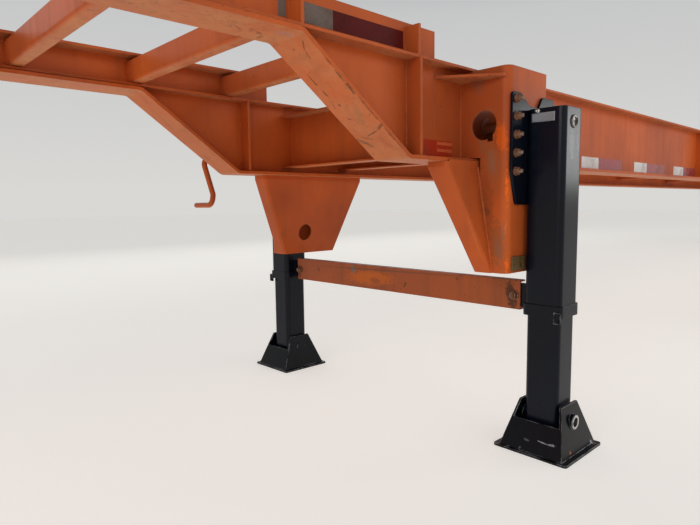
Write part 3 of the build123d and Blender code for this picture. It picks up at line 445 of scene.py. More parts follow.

# the pale lines along the feet's plate edges are scrapes and painted highlights together
footScrapesAndEdgeHighlights = fromLegs(
    ((0.105, 0.688, 0.044), (0.105, 0.705, 0.042), 0.004, "5A5C60", 0.8),
    ((0.102, 0.735, 0.050), (0.103, 0.765, 0.047), 0.0022, "A0A2A6", 0.9),
    ((0.103, 0.765, 0.047), (0.102, 0.792, 0.050), 0.0035, "8C8E92", 0.85),
    ((0.102, 0.786, 0.052), (0.102, 0.792, 0.044), 0.0022, "A0A2A6", 0.8),
    ((0.054, 0.821, 0.022), (0.052, 0.821, 0.020), 0.006, "B5653C", 0.9),
    ((-0.036, 0.806, 0.012), (-0.083, 0.810, 0.012), 0.008, "A8ACB2", 0.9),
    ((-0.083, 0.810, 0.012), (-0.110, 0.834, 0.012), 0.008, "A8ACB2", 0.9),
    ((0.118, 0.677, 0.014), (0.116, 0.680, 0.015), 0.005, "6A6C70", 0.6),
)
legLook = dict(
    enamelLook, base="090C16", mottle="0E121D", dust="1C1C20", dustAmount=0.2, grit="0A0A0C", streak="1A1B20",
    streakAmount=0.12, streakWidth=0.02, chipFrom=0.80, rust="53321F", edge="32363F", edgeAmount=0.35,
    roughness=(0.24, 0.38), peelAmount=0.04, sheen=0.17,
)
# pale streaks high on the outer tube's outboard side are smudges and a painted sheen, with a darker line
# lower down
legSmudgesAndSheen = fromLegs(
    ((0.012, 0.778, 1.045), (0.006, 0.778, 0.965), 0.018, "6E7076", 0.4),
    ((-0.030, 0.778, 1.030), (-0.034, 0.778, 0.985), 0.012, "5E6068", 0.35),
    ((-0.040, 0.778, 0.900), (-0.044, 0.778, 0.760), 0.006, "3A3C44", 0.4),
)
blackLegPaint = paintedSteel("blackLegPaint", dict(legLook, marks=legSmudgesAndSheen))
# the feet's pale edge colour is white scuffs and a painted highlight on the plates' edges
footLook = dict(
    legLook, base="06080D", mottle="0A0C12", marks=footScrapesAndEdgeHighlights, edge="B4B8C0", edgeAmount=1.0, edgeRadius=0.004,
)
footPaintScuffsAndEdgeHighlight = paintedSteel("footPaintScuffsAndEdgeHighlight", footLook)

gearLook = dict(
    legLook, base="1D1D1E", mottle="2A2827", sheen=0.4, dust="6E655B", dustAmount=0.7, streak="57493D",
    streakAmount=0.55, chipFrom=0.66, chipSize=0.018, rust="5A3422", edge="5A4A40", roughness=(0.55, 0.85),
    peelSize=0.004,
)
chassisBlack = paintedSteel("chassisBlack", gearLook)

rimLook = dict(
    enamelLook, base="C9C8C2", mottle="B9B6AD", dust="8D8070", dustAmount=0.6, grit="5A5148", streak="8A7A68",
    streakAmount=0.5, streakWidth=0.05, chipFrom=0.72, rust="6A3A20", edge="8A7F72", roughness=(0.35, 0.7),
)
whiteRimEnamel = paintedSteel("whiteRimEnamel", rimLook)

castLook = dict(
    gearLook, base="6F6E6B", mottle="5C5A57", dust="8A8074", dustAmount=0.6, streak="6B4A36",
    streakAmount=0.45, chipFrom=0.62, chipSize=0.01, rust="6A3E26", edge="8E8C88", roughness=(0.5, 0.8),
    peelSize=0.002, peelAmount=0.3,
)
castZinc = paintedSteel("castZinc", castLook)


def bareMetal(name, look):
    # turned or rolled steel, greased or plated, browned where it has stood in the rain
    material, tree, place = newMaterial(name)
    reach = (look["stainFrom"], look["stainFrom"] + 0.12, 1)
    mixed, share = overlaid(tree, place, look["stainSize"], 5, reach, (look["metal"], look["stain"]))
    metallic = addNode(tree, "MapRange", {"Value": share, "To Min": 1.0, "To Max": 0.15})
    roughness = addNode(tree, "MapRange", {"Value": share, "To Min": look["roughness"], "To Max": 0.8})
    grain = addNode(tree, "TexNoise", {"Vector": place, "Scale": 1 / look["grain"], "Detail": 2.0})
    softEdge = addNode(tree, "Bevel", {"Radius": 0.001}, samples=4)
    reliefLook = {"Strength": 0.25, "Distance": 0.0004}
    relief = addNode(tree, "Bump", {**reliefLook, "Height": grain, "Normal": softEdge})
    surface = {"Base Color": mixed, "Metallic": metallic, "Roughness": roughness, "Normal": relief}
    return finishMaterial(material, tree, surface)


metalColumns = ("metal", "stain", "stainFrom", "stainSize", "grain", "roughness")
metalRows = {
    "greasedSteel": ("8A8682", "3A2D24", 0.48, 0.03, 0.0015, 0.35),
    "rustyBolt": ("8A7462", "7A4A30", 0.40, 0.012, 0.001, 0.45),
    "platedSteel": ("C8C6C2", "7D756C", 0.58, 0.015, 0.001, 0.3),
    "wornThread": ("A08C7E", "86644E", 0.42, 0.006, 0.001, 0.5),
    "rustedPlate": ("8A7040", "6B5230", 0.36, 0.03, 0.002, 0.6),
    "anodisedPlate": ("9A9DA2", "7E7E80", 0.56, 0.05, 0.0008, 0.5),
}
greasedSteel, rustyBolt, platedSteel, wornThread, rustedPlate, anodisedPlate = (
    bareMetal(name, dict(zip(metalColumns, row))) for name, row in metalRows.items()
)


def reflectiveTape(name, look):
    # retroreflective sheeting: a clear film over small cells, with duller ribs between them
    material, tree, place = newMaterial(name)
    cellLook = {"Vector": place, "Scale": 1 / 0.005}  # 5 mm a cell, drawn coarse enough to show
    cells = addNode(tree, "TexVoronoi", cellLook, feature="DISTANCE_TO_EDGE")
    ribs = addNode(tree, "MapRange", {"Value": cells, "From Min": 0.02, "From Max": 0.07})
    film = addNode(tree, "Mix", {0: ribs, 6: look["rib"], 7: look["film"]}, 2, data_type="RGBA")
    dirty, share = overlaid(tree, place, 0.06, 5, (0.45, 0.72, 0.6), (film, look["grime"]))
    roughness = addNode(tree, "MapRange", {"Value": share, "To Min": 0.25, "To Max": 0.6})
    surface = {"Base Color": dirty, "Roughness": roughness, "Specular IOR Level": look["sheen"]}
    surface |= {"Coat Weight": look["sheen"] * 0.6, "Coat Roughness": 0.15}
    return finishMaterial(material, tree, surface)


tapeLooks = {
    "whiteTape": {"film": "E4DEDA", "rib": "C2BEBB", "grime": "9A8578", "sheen": 0.3},
    "redTape": {"film": "A4343A", "rib": "8A2E34", "grime": "8E5240", "sheen": 0.3},
    # the risers' tapes are darkened by painted shade
    "shadowedWhiteTape": {"film": "7A6C64", "rib": "64574F", "grime": "5A3A30", "sheen": 0.05},
    "shadowedRedTape": {"film": "5E1C1A", "rib": "4C1816", "grime": "48201A", "sheen": 0.03},
    "vermilionTape": {"film": "B4361C", "rib": "9E2C18", "grime": "94401F", "sheen": 0.2},
    "fadedVermilionTape": {"film": "D2643C", "rib": "BE5634", "grime": "B4502E", "sheen": 0.2},
}
tapes = {name: reflectiveTape(name, look) for name, look in tapeLooks.items()}


def rubber(name, look):
    # moulded rubber: near black where it is clean, brown-grey where road dust sits
    material, tree, place = newMaterial(name)
    reach, tones = (0.35, 0.75, look["dustAmount"]), (look["rubber"], look["dust"])
    mixed = overlaid(tree, place, look["dustSize"], 6, reach, tones, roughness=0.7)[0]
    grain = addNode(tree, "TexNoise", {"Vector": place, "Scale": 1 / 0.0025, "Detail": 3.0})
    relief = addNode(tree, "Bump", {"Strength": 0.3, "Distance": 0.0005, "Height": grain})
    return finishMaterial(material, tree, {"Base Color": mixed, "Roughness": 0.78, "Normal": relief})


tyreDust = {"rubber": "1B1B1C", "dust": "5E564E", "dustSize": 0.11, "dustAmount": 0.42}
flapDust = {"rubber": "202022", "dust": "756A5E", "dustSize": 0.2, "dustAmount": 0.6}
tyreRubber, flapRubber = rubber("tyreRubber", tyreDust), rubber("flapRubber", flapDust)


def lensPlastic(name, look):
    # clear coloured acrylic over a prismatic back, so it is deeper in colour towards each cell's rim
    material, tree, place = newMaterial(name)
    prisms = addNode(tree, "TexVoronoi", {"Vector": place, "Scale": 1 / 0.006}, feature="F1")
    share = addNode(tree, "MapRange", {"Value": prisms, "From Max": 0.6})
    mixed = addNode(tree, "Mix", {0: share, 6: look["bright"], 7: look["deep"]}, 2, data_type="RGBA")
    relief = addNode(tree, "Bump", {"Strength": 0.2, "Distance": 0.0008, "Height": prisms})
    surface = {"Base Color": mixed, "Roughness": 0.16, "IOR": 1.49, "Coat Weight": 0.6, "Normal": relief}
    return finishMaterial(material, tree, surface)


redLens = lensPlastic("redLens", {"bright": "C8201C", "deep": "6E0C0C"})
amberLens = lensPlastic("amberLens", {"bright": "E08A1E", "deep": "9A4A08"})

nodeFinishes = {
    "left_gooseneck_rail": scuffedEnamelAndPaintedLight, "left_leg_bracket": scuffedEnamelAndPaintedLight, "left_leg_gusset": scuffedEnamelAndPaintedLight,
    "leg_cross_brace": wornEnamel,
    "leg_gearbox": blackLegPaint, "leg_cross_shaft": blackLegPaint,
    "kingpin": greasedSteel, "front_lock_pins": greasedSteel, "twist_locks": greasedSteel,
    "service_couplings": castZinc, "brake_chambers": castZinc,
    "suspension_hangers": chassisBlack, "leaf_springs": chassisBlack, "equalizers": chassisBlack,
    "torque_arms": chassisBlack, "front_axle_beam": chassisBlack, "rear_axle_beam": chassisBlack,
    "air_tank": chassisBlack, "mud_flaps": flapRubber, "tail_lamps": redLens,
}
finishesByEnding = {
    "_leg_outer_tube": blackLegPaint, "_leg_inner_tube": blackLegPaint, "_leg_foot": footPaintScuffsAndEdgeHighlight,
    "_wheels": whiteRimEnamel, "_tyres": tyreRubber,
}
for nodeName, node in frame["nodes"].items():
    finish = nodeFinishes.get(nodeName, orangeEnamel)
    for ending, common in finishesByEnding.items():
        if nodeName.endswith(ending):
            finish = common
    node.data.materials.clear()
    node.data.materials.append(finish)
print("materials made")


# Bolts and nuts
def makeNut(size):
    # a hexagon nut on its washer
    washer = addRod(20, size["washerRadius"], 0, size["washer"], 0.0008)
    corner = size["acrossFlats"] / 2 / cos(pi / 6)
    top = size["washer"] + size["nutHeight"] - 0.0015  # the turned-in edge adds the last 1.5 mm
    return joined(washer, addRod(6, corner, size["washer"], top, 0.0025))


def fitNuts(name, size, spots, material, body="chassis"):
    finishPiece(copies(makeNut(size), spots), name, material, body)
    if size["stub"]:
        # the bolts' ends stand out of their nuts
        nutTop = size["washer"] + size["nutHeight"]
        boltEnd = addRod(12, size["stubRadius"], nutTop - 0.004, nutTop + size["stub"], 0.0015)
        endName = name.replace("nuts", "bolt_ends")
        finishPiece(copies(boltEnd, spots), endName, size["ends"], body)


legNut = {
    "acrossFlats": 0.022, "nutHeight": 0.012, "washerRadius": 0.0145, "washer": 0.003,
    "stub": 0.009, "stubRadius": 0.0065, "ends": wornThread,
    "columns": ((0.128, (0.923, 0.981, 1.038, 1.095, 1.150)), (-0.124, (0.923, 0.981, 1.038, 1.095))),
}
plateFace = legY - outerHalf  # the mounting plate's outboard face is the tube's inboard one
spots = [
    standing((legX + column, side * plateFace, height), (0, side, 0), 9 * height + column)
    for side in hands
    for column, heights in legNut["columns"]
    for height in heights
]
fitNuts("leg_plate_nuts", legNut, spots, rustyBolt)

braceNut = dict(
    legNut, acrossFlats=0.024, nutHeight=0.013, washerRadius=0.017, stub=0.005, stubRadius=0.008,
    ends=rustyBolt, y=0.592, z=0.505,
)
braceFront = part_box("leg_cross_brace")[1].x
spots = [standing((braceFront, side * braceNut["y"], braceNut["z"]), (1, 0, 0), 0.4) for side in hands]
fitNuts("brace_end_nuts", braceNut, spots, rustyBolt)

coverNut = {"acrossFlats": 0.013, "nutHeight": 0.007, "washerRadius": 0.0085, "washer": 0.0015, "stub": 0}
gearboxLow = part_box("leg_gearbox")[0]
coverFace = gearboxLow.y + 0.012  # the crank's boss stands 12 mm proud of the cover
coverRows = ((0.04, 0.979), (0.046, 1.035), (0.036, 1.086))
coverPlaces = [(turn * x, z) for x, z in coverRows for turn in (-1, 1)] + [(0, 1.088)]
spots = [standing((legX + x, coverFace, z), (0, -1, 0), z) for x, z in coverPlaces]
fitNuts("gearbox_cover_bolts", coverNut, spots, platedSteel)
print("leg nuts and bolts made")

# Small fittings on the landing legs
label = {
    "x": (0.0635, 0.0647), "y": (0.668, 0.746), "z": (1.077, 1.105), "bevel": 0.0004,
    "frontArea": 0.0005, "rim": 0.0022, "depth": 0.0004, "rivet": 0.0022, "margin": 0.005,
}
(x, farX), (y, farY), (z, top) = label["x"], label["y"], label["z"]
plate = addBlock((legX + x, y, z), (legX + farX, farY, top), label["bevel"])
sinkFront(plate, label)
spots = [
    standing((legX + farX - 0.0006, across, height), (1, 0, 0))
    for across in (y + label["margin"], farY - label["margin"])
    for height in (z + label["margin"], top - label["margin"])
]
rivets = copies(addRod(10, label["rivet"], 0, 0.001, 0.0008), spots)
finishPiece(joined(plate, rivets), "leg_blank_plate", anodisedPlate)

nipple = {"y": 0.690, "z": 1.111}
nippleShape = (
    (0, 0), (0, 0.007), (0.006, 0.007), (0.007, 0.004), (0.011, 0.004), (0.012, 0.0052), (0.016, 0.0048),
    (0.018, 0.002), (0.018, 0),
)
spots = [standing((legX + outerHalf, side * nipple["y"], nipple["z"]), (1, 0, 0)) for side in hands]
finishPiece(copies(spunProfile(nippleShape, 12), spots), "leg_grease_nipples", platedSteel)

plugHeight = 1.076
plugShape = (
    (0, 0), (0, 0.021), (0.003, 0.021), (0.0048, 0.018), (0.0042, 0.0145), (0.0008, 0.013), (0.0008, 0),
)
spots = [standing((legX, legY + outerHalf, plugHeight), (0, 1, 0))]
finishPiece(copies(spunProfile(plugShape, 24), spots), "leg_side_plug", greasedSteel)

clip = {
    "x": (0.0650, 0.0712), "y": (0.760, 0.785), "z": (0.436, 0.473), "bevel": 0.0012,
    "frontArea": 0.0003, "rim": 0.0055, "depth": 0.003, "screws": (0.443, 0.466),
}
screw = {"acrossFlats": 0.007, "nutHeight": 0.003, "washerRadius": 0.0045, "washer": 0.001, "stub": 0}
(x, farX), (y, farY), (z, top) = clip["x"], clip["y"], clip["z"]
clips, spots = [], []
for side in hands:
    clips.append(addBlock((legX + x, side * y, z), (legX + farX, side * farY, top), clip["bevel"]))
    sinkFront(clips[-1], clip)
    middle = (legX + farX - clip["depth"], side * (y + farY) / 2)
    spots += [standing((*middle, height), (1, 0, 0)) for height in clip["screws"]]
finishPiece(joined(*clips), "leg_collar_clips", footPaintScuffsAndEdgeHighlight)
fitNuts("leg_collar_screws", screw, spots, blackLegPaint)

tab = {
    "x": (0.048, 0.131), "y": (0.641, 0.648), "z": (0.602, 0.649), "bevel": 0.001,
    "holes": ((0.123, 0.625), (0.122, 0.641)), "hole": 0.0035,
}
(x, farX), (y, farY), (z, top) = tab["x"], tab["y"], tab["z"]
tabs = []
for side in hands:
    tabPlate = addBlock((legX + x, side * y, z), (legX + farX, side * farY, top), tab["bevel"])
    for holeX, holeZ in tab["holes"]:
        spots = [standing((legX + holeX, side * y, holeZ), (0, side, 0))]
        drill = copies(addRod(14, tab["hole"], -0.02, 0.02), spots)
        pick(tabPlate)
        bpy.ops.object.modifier_add(type="BOOLEAN")
        tabPlate.modifiers[-1].object = drill
        applyLast(tabPlate)
        bpy.data.objects.remove(drill)
    tabs.append(tabPlate)
finishPiece(joined(*tabs), "leg_bracket_tabs", rustedPlate)

footPin = {"reach": 0.096, "z": 0.105}  # its outboard end, from the leg's middle and from the ground
sleeveShape = (
    (-0.030, 0.0179), (0.0002, 0.0179), (0.0002, 0.0232), (0.0014, 0.0232), (0.0024, 0.0216),
    (0.0024, 0.0172), (0.0014, 0.0156), (-0.030, 0.0156),
)
spots = [standing((legX, side * (legY + footPin["reach"]), footPin["z"]), (0, side, 0)) for side in hands]
finishPiece(copies(spunProfile(sleeveShape, 28, True), spots), "foot_pin_sleeves", platedSteel)

# Collars where the cross shaft passes through the rails' webs, each with a sleeve over the shaft
shaftHeight = 1.085
collarShape = (
    (-0.006, 0.0156), (-0.006, 0.031), (0.0003, 0.031), (0.0003, 0.038), (0.0022, 0.038), (0.0032, 0.036),
    (0.0032, 0.020), (0.010, 0.0175), (0.166, 0.0175), (0.166, 0.0156),
)
spots = [standing((legX, side * webOuter, shaftHeight), (0, side, 0)) for side in hands]
collars = copies(spunProfile(collarShape, 36, True), spots)
finishPiece(collars, "cross_shaft_collars", wornEnamel)
print("leg fittings made")

# Weld beads: overlapping ripples laid along the corners where plates meet
weld = {"radius": 0.0042, "step": 0.0042, "sides": 8, "low": -0.0024, "high": 0.0022, "wander": 0.0004}
weldRuns = [
    ((0.159, 0.531, 0.938), (0.159, 0.540, 0.885)), ((0.159, 0.540, 0.885), (0.159, 0.562, 0.758)),
    ((0.159, 0.562, 0.758), (0.159, 0.589, 0.603)),
    ((0.425, 0.460, 0.968), (0.425, 0.460, 1.250)), ((0.435, 0.460, 0.968), (0.435, 0.460, 1.250)),
    ((0.425, 0.460, 0.968), (0.425, 0.514, 0.968)), ((0.435, 0.460, 0.968), (0.435, 0.514, 0.968)),
    ((0.158, 0.460, 0.968), (0.158, 0.460, 1.250)), ((-0.140, 0.460, 0.968), (-0.140, 0.460, 1.250)),
    ((0.425, 0.460, 1.261), (0.425, 0.505, 1.261)), ((0.435, 0.460, 1.261), (0.435, 0.505, 1.261)),
]
spots = []
for start, end in weldRuns:
    for side in hands:
        a, b = (Vector((legX + x, side * y, z)) for x, y, z in (start, end))
        count = int((b - a).length / weld["step"])
        for i in range(count + 1):
            wander = Vector((sin(2.3 * i), sin(3.1 * i + 1), sin(1.7 * i))) * weld["wander"]
            spots.append(standing(a.lerp(b, i / count) + wander, b - a, 0.7 * i))
ripple = addRod(weld["sides"], weld["radius"], weld["low"], weld["high"], 0.0014)
finishPiece(copies(ripple, spots), "weld_beads", orangeEnamel, angle=60)
print("welds made")

# Reflective tape: 50 mm strips along the rails, the risers and the rear guard
tape = {
    "white": 0.178, "red": 0.279, "gap": 0.160, "rail": (0.976, 1.027), "riser": (1.281, 1.332),
    "guard": (0.485, 0.536), "edge": 0.0003, "clear": 0.012, "sunk": 0.0002, "proud": 0.0007,
    "railStart": 0.761, "riserStart": 0.905, "guardStart": 1.24, "guardPairs": 3,
}
stiffenerX = legX - 2.417
railCuts = (stiffenerX, tandemX, frontAxle + hangerReach, rearAxle - hangerReach)
riserCuts = (legX + 0.868, legX + 0.430)
tapeFinishes = {
    "white": "whiteTape", "red": "redTape", "riser_white": "shadowedWhiteTape", "riser_red": "shadowedRedTape",
    "patch": "vermilionTape", "patch_stripe": "fadedVermilionTape",
}
strips = {tone: [] for tone in tapeFinishes}


def layTape(tone, start, end, heights, cuts=()):
    # a strip from start back to end on both rails, cut where a plate stands in its way
    for cut in cuts:
        if end < cut < start:
            layTape(tone, start, cut + tape["clear"], heights, cuts)
            layTape(tone, cut - tape["clear"], end, heights, cuts)
            return
    for side in hands:
        inner, outer = side * (webOuter - tape["sunk"]), side * (webOuter + tape["proud"])
        strips[tone].append(addBlock((end, inner, heights[0]), (start, outer, heights[1]), tape["edge"], 1))


def layPair(tones, start, heights, cuts):
    # a white length with a red one behind it
    middle = start - tape["white"]
    layTape(tones[0], start, middle, heights, cuts)
    layTape(tones[1], middle, middle - tape["red"], heights, cuts)


period = tape["white"] + tape["red"] + tape["gap"]
start = legX - tape["railStart"]
while start - tape["white"] - tape["red"] > bolsterHigh.x + 0.05:
    layPair(("white", "red"), start, tape["rail"], railCuts)
    start -= period
start = legX + tape["riserStart"]
while start < noseLow.x:
    layPair(("riser_white", "riser_red"), start, tape["riser"], riserCuts)
    start += period
# an orange-red patch ahead of the leg bracket, with two faded stripes at its rear end
patch = {
    "front": legX + 0.352, "middle": legX + 0.284, "rear": legX + 0.203, "heights": (0.972, 1.026),
    "bright": ((0.972, 0.990), (1.000, 1.012), (1.022, 1.026)), "faded": ((0.990, 1.000), (1.012, 1.022)),
}
layTape("patch", patch["front"], patch["middle"], patch["heights"])
for tone, bands in (("patch", patch["bright"]), ("patch_stripe", patch["faded"])):
    for heights in bands:
        layTape(tone, patch["middle"], patch["rear"], heights)
# on the guard, red and white from its end towards the middle
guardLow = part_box("underride_guard")[0]
low, high = tape["guard"]
for side in hands:
    for i in range(tape["guardPairs"]):
        outer = tape["guardStart"] - i * (tape["red"] + tape["white"])
        middle = outer - tape["red"]
        for tone, a, b in (("red", outer, middle), ("white", middle, max(middle - tape["white"], 0))):
            corners = (guardLow.x - tape["proud"], side * a, low), (guardLow.x + tape["sunk"], side * b, high)
            strips[tone].append(addBlock(*corners, tape["edge"], 1))
for tone, material in tapeFinishes.items():
    finishPiece(joined(*strips[tone]), f"reflective_tape_{tone}", tapes[material], angle=20)
print("tape laid")

# Wheels: stud nuts, hub cap bolts and valve stems
stud = {
    "acrossFlats": 0.033, "nutHeight": 0.024, "washerRadius": 0.021, "washer": 0.004,
    "stub": 0.016, "stubRadius": 0.0105, "ends": greasedSteel, "circle": 0.1429, "count": 10, "face": 0.011,
}
capBolt = {
    "acrossFlats": 0.013, "nutHeight": 0.008, "washerRadius": 0.009, "washer": 0.0015,
    "stub": 0, "circle": 0.089, "count": 6, "face": 0.032,
}
valve = {
    "along": (0.185, 0.185, 0.236), "out": (0.2445, 0.226, 0.222), "towards": (0.31, 0, 0.95),
    "radius": 0.0045,
}
for body, centre in wheelPlaces.items():
    outward = Vector((0, 1 if centre.y > 0 else -1, 0))
    for ending, bolt in (("nuts", stud), ("hub_bolts", capBolt)):
        turns = [2 * pi * i / bolt["count"] for i in range(bolt["count"])]
        middle = centre + outward * bolt["face"]
        spots = [
            standing(middle + Vector((cos(turn), 0, sin(turn))) * bolt["circle"], outward, turn)
            for turn in turns
        ]
        fitNuts(f"{body}_{ending}", bolt, spots, platedSteel, body)
    towards = Vector(valve["towards"])
    route = [centre + outward * along + towards * out for along, out in zip(valve["along"], valve["out"])]
    stem = bentRod(route, valve["radius"])
    finishPiece(stem, f"{body}_valve", greasedSteel, body, 50)
print("wheel nuts, hub bolts and valves made")

# Tyres with ribs and grooves, each pair on its wheels' body
tyre = {
    "radius": 0.507, "halfWidth": 0.1395, "bead": 0.2853, "spacing": 0.343, "steps": 96,
    "grooves": (-0.062, -0.022, 0.022, 0.062), "groove": 0.010, "depth": 0.012, "crown": 0.003,
    "slots": (0.070, 0.123), "slotRim": 0.0022, "slotDepth": 0.007, "turn": 0.03,
}
halfWidth, tread, bead = tyre["halfWidth"], tyre["radius"], tyre["bead"]
# one wall from its bead up to its shoulder, then the tread, and the hollow inside
wall = [
    (-0.084, bead), (-0.0982, bead), (-0.0982, bead + 0.0128), (-0.111, bead + 0.02), (-0.121, bead + 0.034),
    (-0.124, bead + 0.036), (-0.124, bead + 0.040), (-0.132, bead + 0.07), (-halfWidth, bead + 0.108),
    (-0.1375, bead + 0.145), (-0.1345, bead + 0.163), (-0.1365, bead + 0.166), (-0.1345, bead + 0.169),
    (-0.1285, tread - 0.028), (-0.1225, tread - 0.012), (-0.117, tread - 0.005), (-0.106, tread - 0.0015),
]
ribs = []
for groove in tyre["grooves"]:
    half = tyre["groove"] / 2
    crown = tread - tyre["crown"] * (groove / 0.1) ** 2
    floorRadius = crown - tyre["depth"]
    ribs += [(groove - half, crown), (groove - half * 0.5, floorRadius)]
    ribs += [(groove + half * 0.5, floorRadius), (groove + half, crown)]
hollow = [(0.100, bead + 0.03), (0.120, bead + 0.105), (0.106, tread - 0.04)]


def mirrored(points):
    return [(-along, radius) for along, radius in reversed(points)]


def isSlot(face):
    # short slots across both outer ribs, one step in three
    step = int((pi + atan2(face.center.y, face.center.x)) / (2 * pi) * tyre["steps"])
    out = hypot(face.center.x, face.center.y)
    near, far = tyre["slots"]
    return step % 3 == 0 and near < abs(face.center.z) < far and out > tread - 0.02


outline = wall + ribs + mirrored(wall) + hollow + mirrored(hollow)
for body, centre in wheelPlaces.items():
    ring = spunProfile(outline, tyre["steps"], True)
    editFaces(ring, isSlot)
    bpy.ops.mesh.inset(thickness=tyre["slotRim"], use_boundary=True)
    bpy.ops.transform.shrink_fatten(value=-tyre["slotDepth"])
    bpy.ops.object.mode_set(mode="OBJECT")
    # one tyre is turned a little against the other
    spots = [
        standing(centre + Vector((0, reach * tyre["spacing"], 0)), (0, 1, 0), reach * tyre["turn"])
        for reach in (0.5, -0.5)
    ]
    pair = finishPiece(copies(ring, spots), f"{body}_tyre_pair", tyreRubber, body, 40)
    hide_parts(body.replace("_wheel", "_tyres"))
print("tyres made")

# Suspension: clamp plates, U-bolts and pins at each spring
springPlaces = [(axle, side * railY) for axle in axlePlaces for side in hands]
clamp = {
    "halfLength": 0.098, "halfWidth": 0.072, "upper": (0.6325, 0.6445), "lower": (0.4195, 0.4295),
    "bevel": 0.003,
}
uBolt = {"x": 0.0745, "y": 0.0590, "radius": 0.009, "tail": 0.032, "bend": 0.035, "flat": 0.02}
uNut = dict(legNut, acrossFlats=0.029, washerRadius=0.019, stub=0)
plates, bows, spots = [], [], []
for x, y in springPlaces:
    long, wide = clamp["halfLength"], clamp["halfWidth"]
    for low, high in (clamp["upper"], clamp["lower"]):
        plates.append(addBlock((x - long, y - wide, low), (x + long, y + wide, high), clamp["bevel"]))
    foot, head = clamp["lower"][1] - uBolt["tail"], clamp["upper"][1] + uBolt["radius"]
    for along in (-uBolt["x"], uBolt["x"]):
        leg = [(x + along, y - uBolt["y"], z) for z in (foot, head - uBolt["bend"], head)]
        across = [(x + along, y + out, head) for out in (-uBolt["flat"], uBolt["flat"])]
        route = leg + across + [(px, 2 * y - py, pz) for px, py, pz in reversed(leg)]
        bows.append(bentRod(route, uBolt["radius"]))
        for out in (-uBolt["y"], uBolt["y"]):
            spots.append(standing((x + along, y + out, clamp["lower"][0]), (0, 0, -1), along))
finishPiece(joined(*plates), "spring_clamp_plates", chassisBlack)
finishPiece(joined(*bows), "spring_u_bolts", greasedSteel, angle=50)
fitNuts("spring_u_bolt_nuts", uNut, spots, rustyBolt)

pin = {
    "acrossFlats": 0.041, "nutHeight": 0.022, "washerRadius": 0.028, "washer": 0.004,
    "stub": 0.010, "stubRadius": 0.013, "ends": rustyBolt,
    "out": 0.050, "rockerHeight": 0.7952, "hangerHeight": 0.6552, "earReach": 0.095, "earHeight": 0.487,
}
# the torque arms' pins in their hangers and axle ears, and the rockers' own pins
pinPlaces = [(x, pin["hangerHeight"]) for x in (frontAxle + hangerReach, tandemX)]
pinPlaces.append((tandemX, pin["rockerHeight"]))
pinPlaces += [(axle + pin["earReach"], pin["earHeight"]) for axle in axlePlaces]
spots = [
    standing((x, side * (railY + turn * pin["out"]), z), (0, side * turn, 0), x)
    for x, z in pinPlaces
    for side in hands
    for turn in (1, -1)
]
fitNuts("suspension_pin_nuts", pin, spots, rustyBolt)

chamber = {
    "x": 0.152, "y": 0.300, "z": 0.635, "ear": (0.009, 0.014), "earHeights": (0.094, 0.112), "earBolt": 0.104,
    "faceX": 0.058, "faceBolt": 0.040,
}
chamberBolt = dict(coverNut, acrossFlats=0.019, washerRadius=0.012)
bandShape = ((-0.008, 0.0925), (-0.008, 0.096), (0.008, 0.096), (0.008, 0.0925))
rings, ears, spots = [], [], []
for axle in axlePlaces:
    for side in hands:
        x, y, z = axle + chamber["x"], side * chamber["y"], chamber["z"]
        rings.append(standing((x, y, z), (1, 0, 0)))
        long, wide = chamber["ear"]
        for turn in (1, -1):
            low, high = (z + turn * height for height in chamber["earHeights"])
            ears.append(addBlock((x - long, y - wide, low), (x + long, y + wide, high), 0.003))
            spots.append(standing((x, y + wide, z + turn * chamber["earBolt"]), (0, 1, 0)))
            face = (axle + chamber["faceX"], y, z + turn * chamber["faceBolt"])
            spots.append(standing(face, (-1, 0, 0)))
ears.append(copies(spunProfile(bandShape, 40, True), rings))
finishPiece(joined(*ears), "chamber_clamp_bands", platedSteel)
fitNuts("chamber_bolts", chamberBolt, spots, platedSteel)
print("suspension fittings made")

# Lamps: domed lenses in rubber grommets, both drawn for the large lamp and scaled for the small ones
lamp = {"radius": 0.054, "small": 0.020, "height": 1.174, "steps": 40}
lensShape = (
    (-0.024, 0), (-0.024, 0.046), (0, 0.046), (0.002, 0.0452), (0.0042, 0.040), (0.0055, 0.022), (0.006, 0),
)
grommetShape = (
    (-0.012, 0.0462), (-0.012, 0.0539), (0.0002, 0.0539), (0.0005, 0.058), (0.003, 0.058), (0.0042, 0.055),
    (0.0036, 0.0462),
)


def makeRound(shape, radius, closed=False):
    share = radius / lamp["radius"]
    return spunProfile([(along, out * share) for along, out in shape], lamp["steps"], closed)


stopY = (1.010, 0.880, 0.750)
stopPlaces = [standing((bolsterLow.x, side * y, lamp["height"]), (-1, 0, 0)) for side in hands for y in stopY]
rearMarkers = [standing((bolsterLow.x, y, lamp["height"]), (-1, 0, 0)) for y in (0.150, 0, -0.150)]
large = copies(makeRound(lensShape, lamp["radius"]), stopPlaces)
small = copies(makeRound(lensShape, lamp["small"]), rearMarkers)
finishPiece(joined(large, small), "tail_lamp_lenses", redLens, angle=50)
large = copies(makeRound(grommetShape, lamp["radius"], True), stopPlaces)
small = copies(makeRound(grommetShape, lamp["small"], True), rearMarkers)
finishPiece(joined(large, small), "tail_lamp_grommets", flapRubber, angle=50)
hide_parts("tail_lamps")

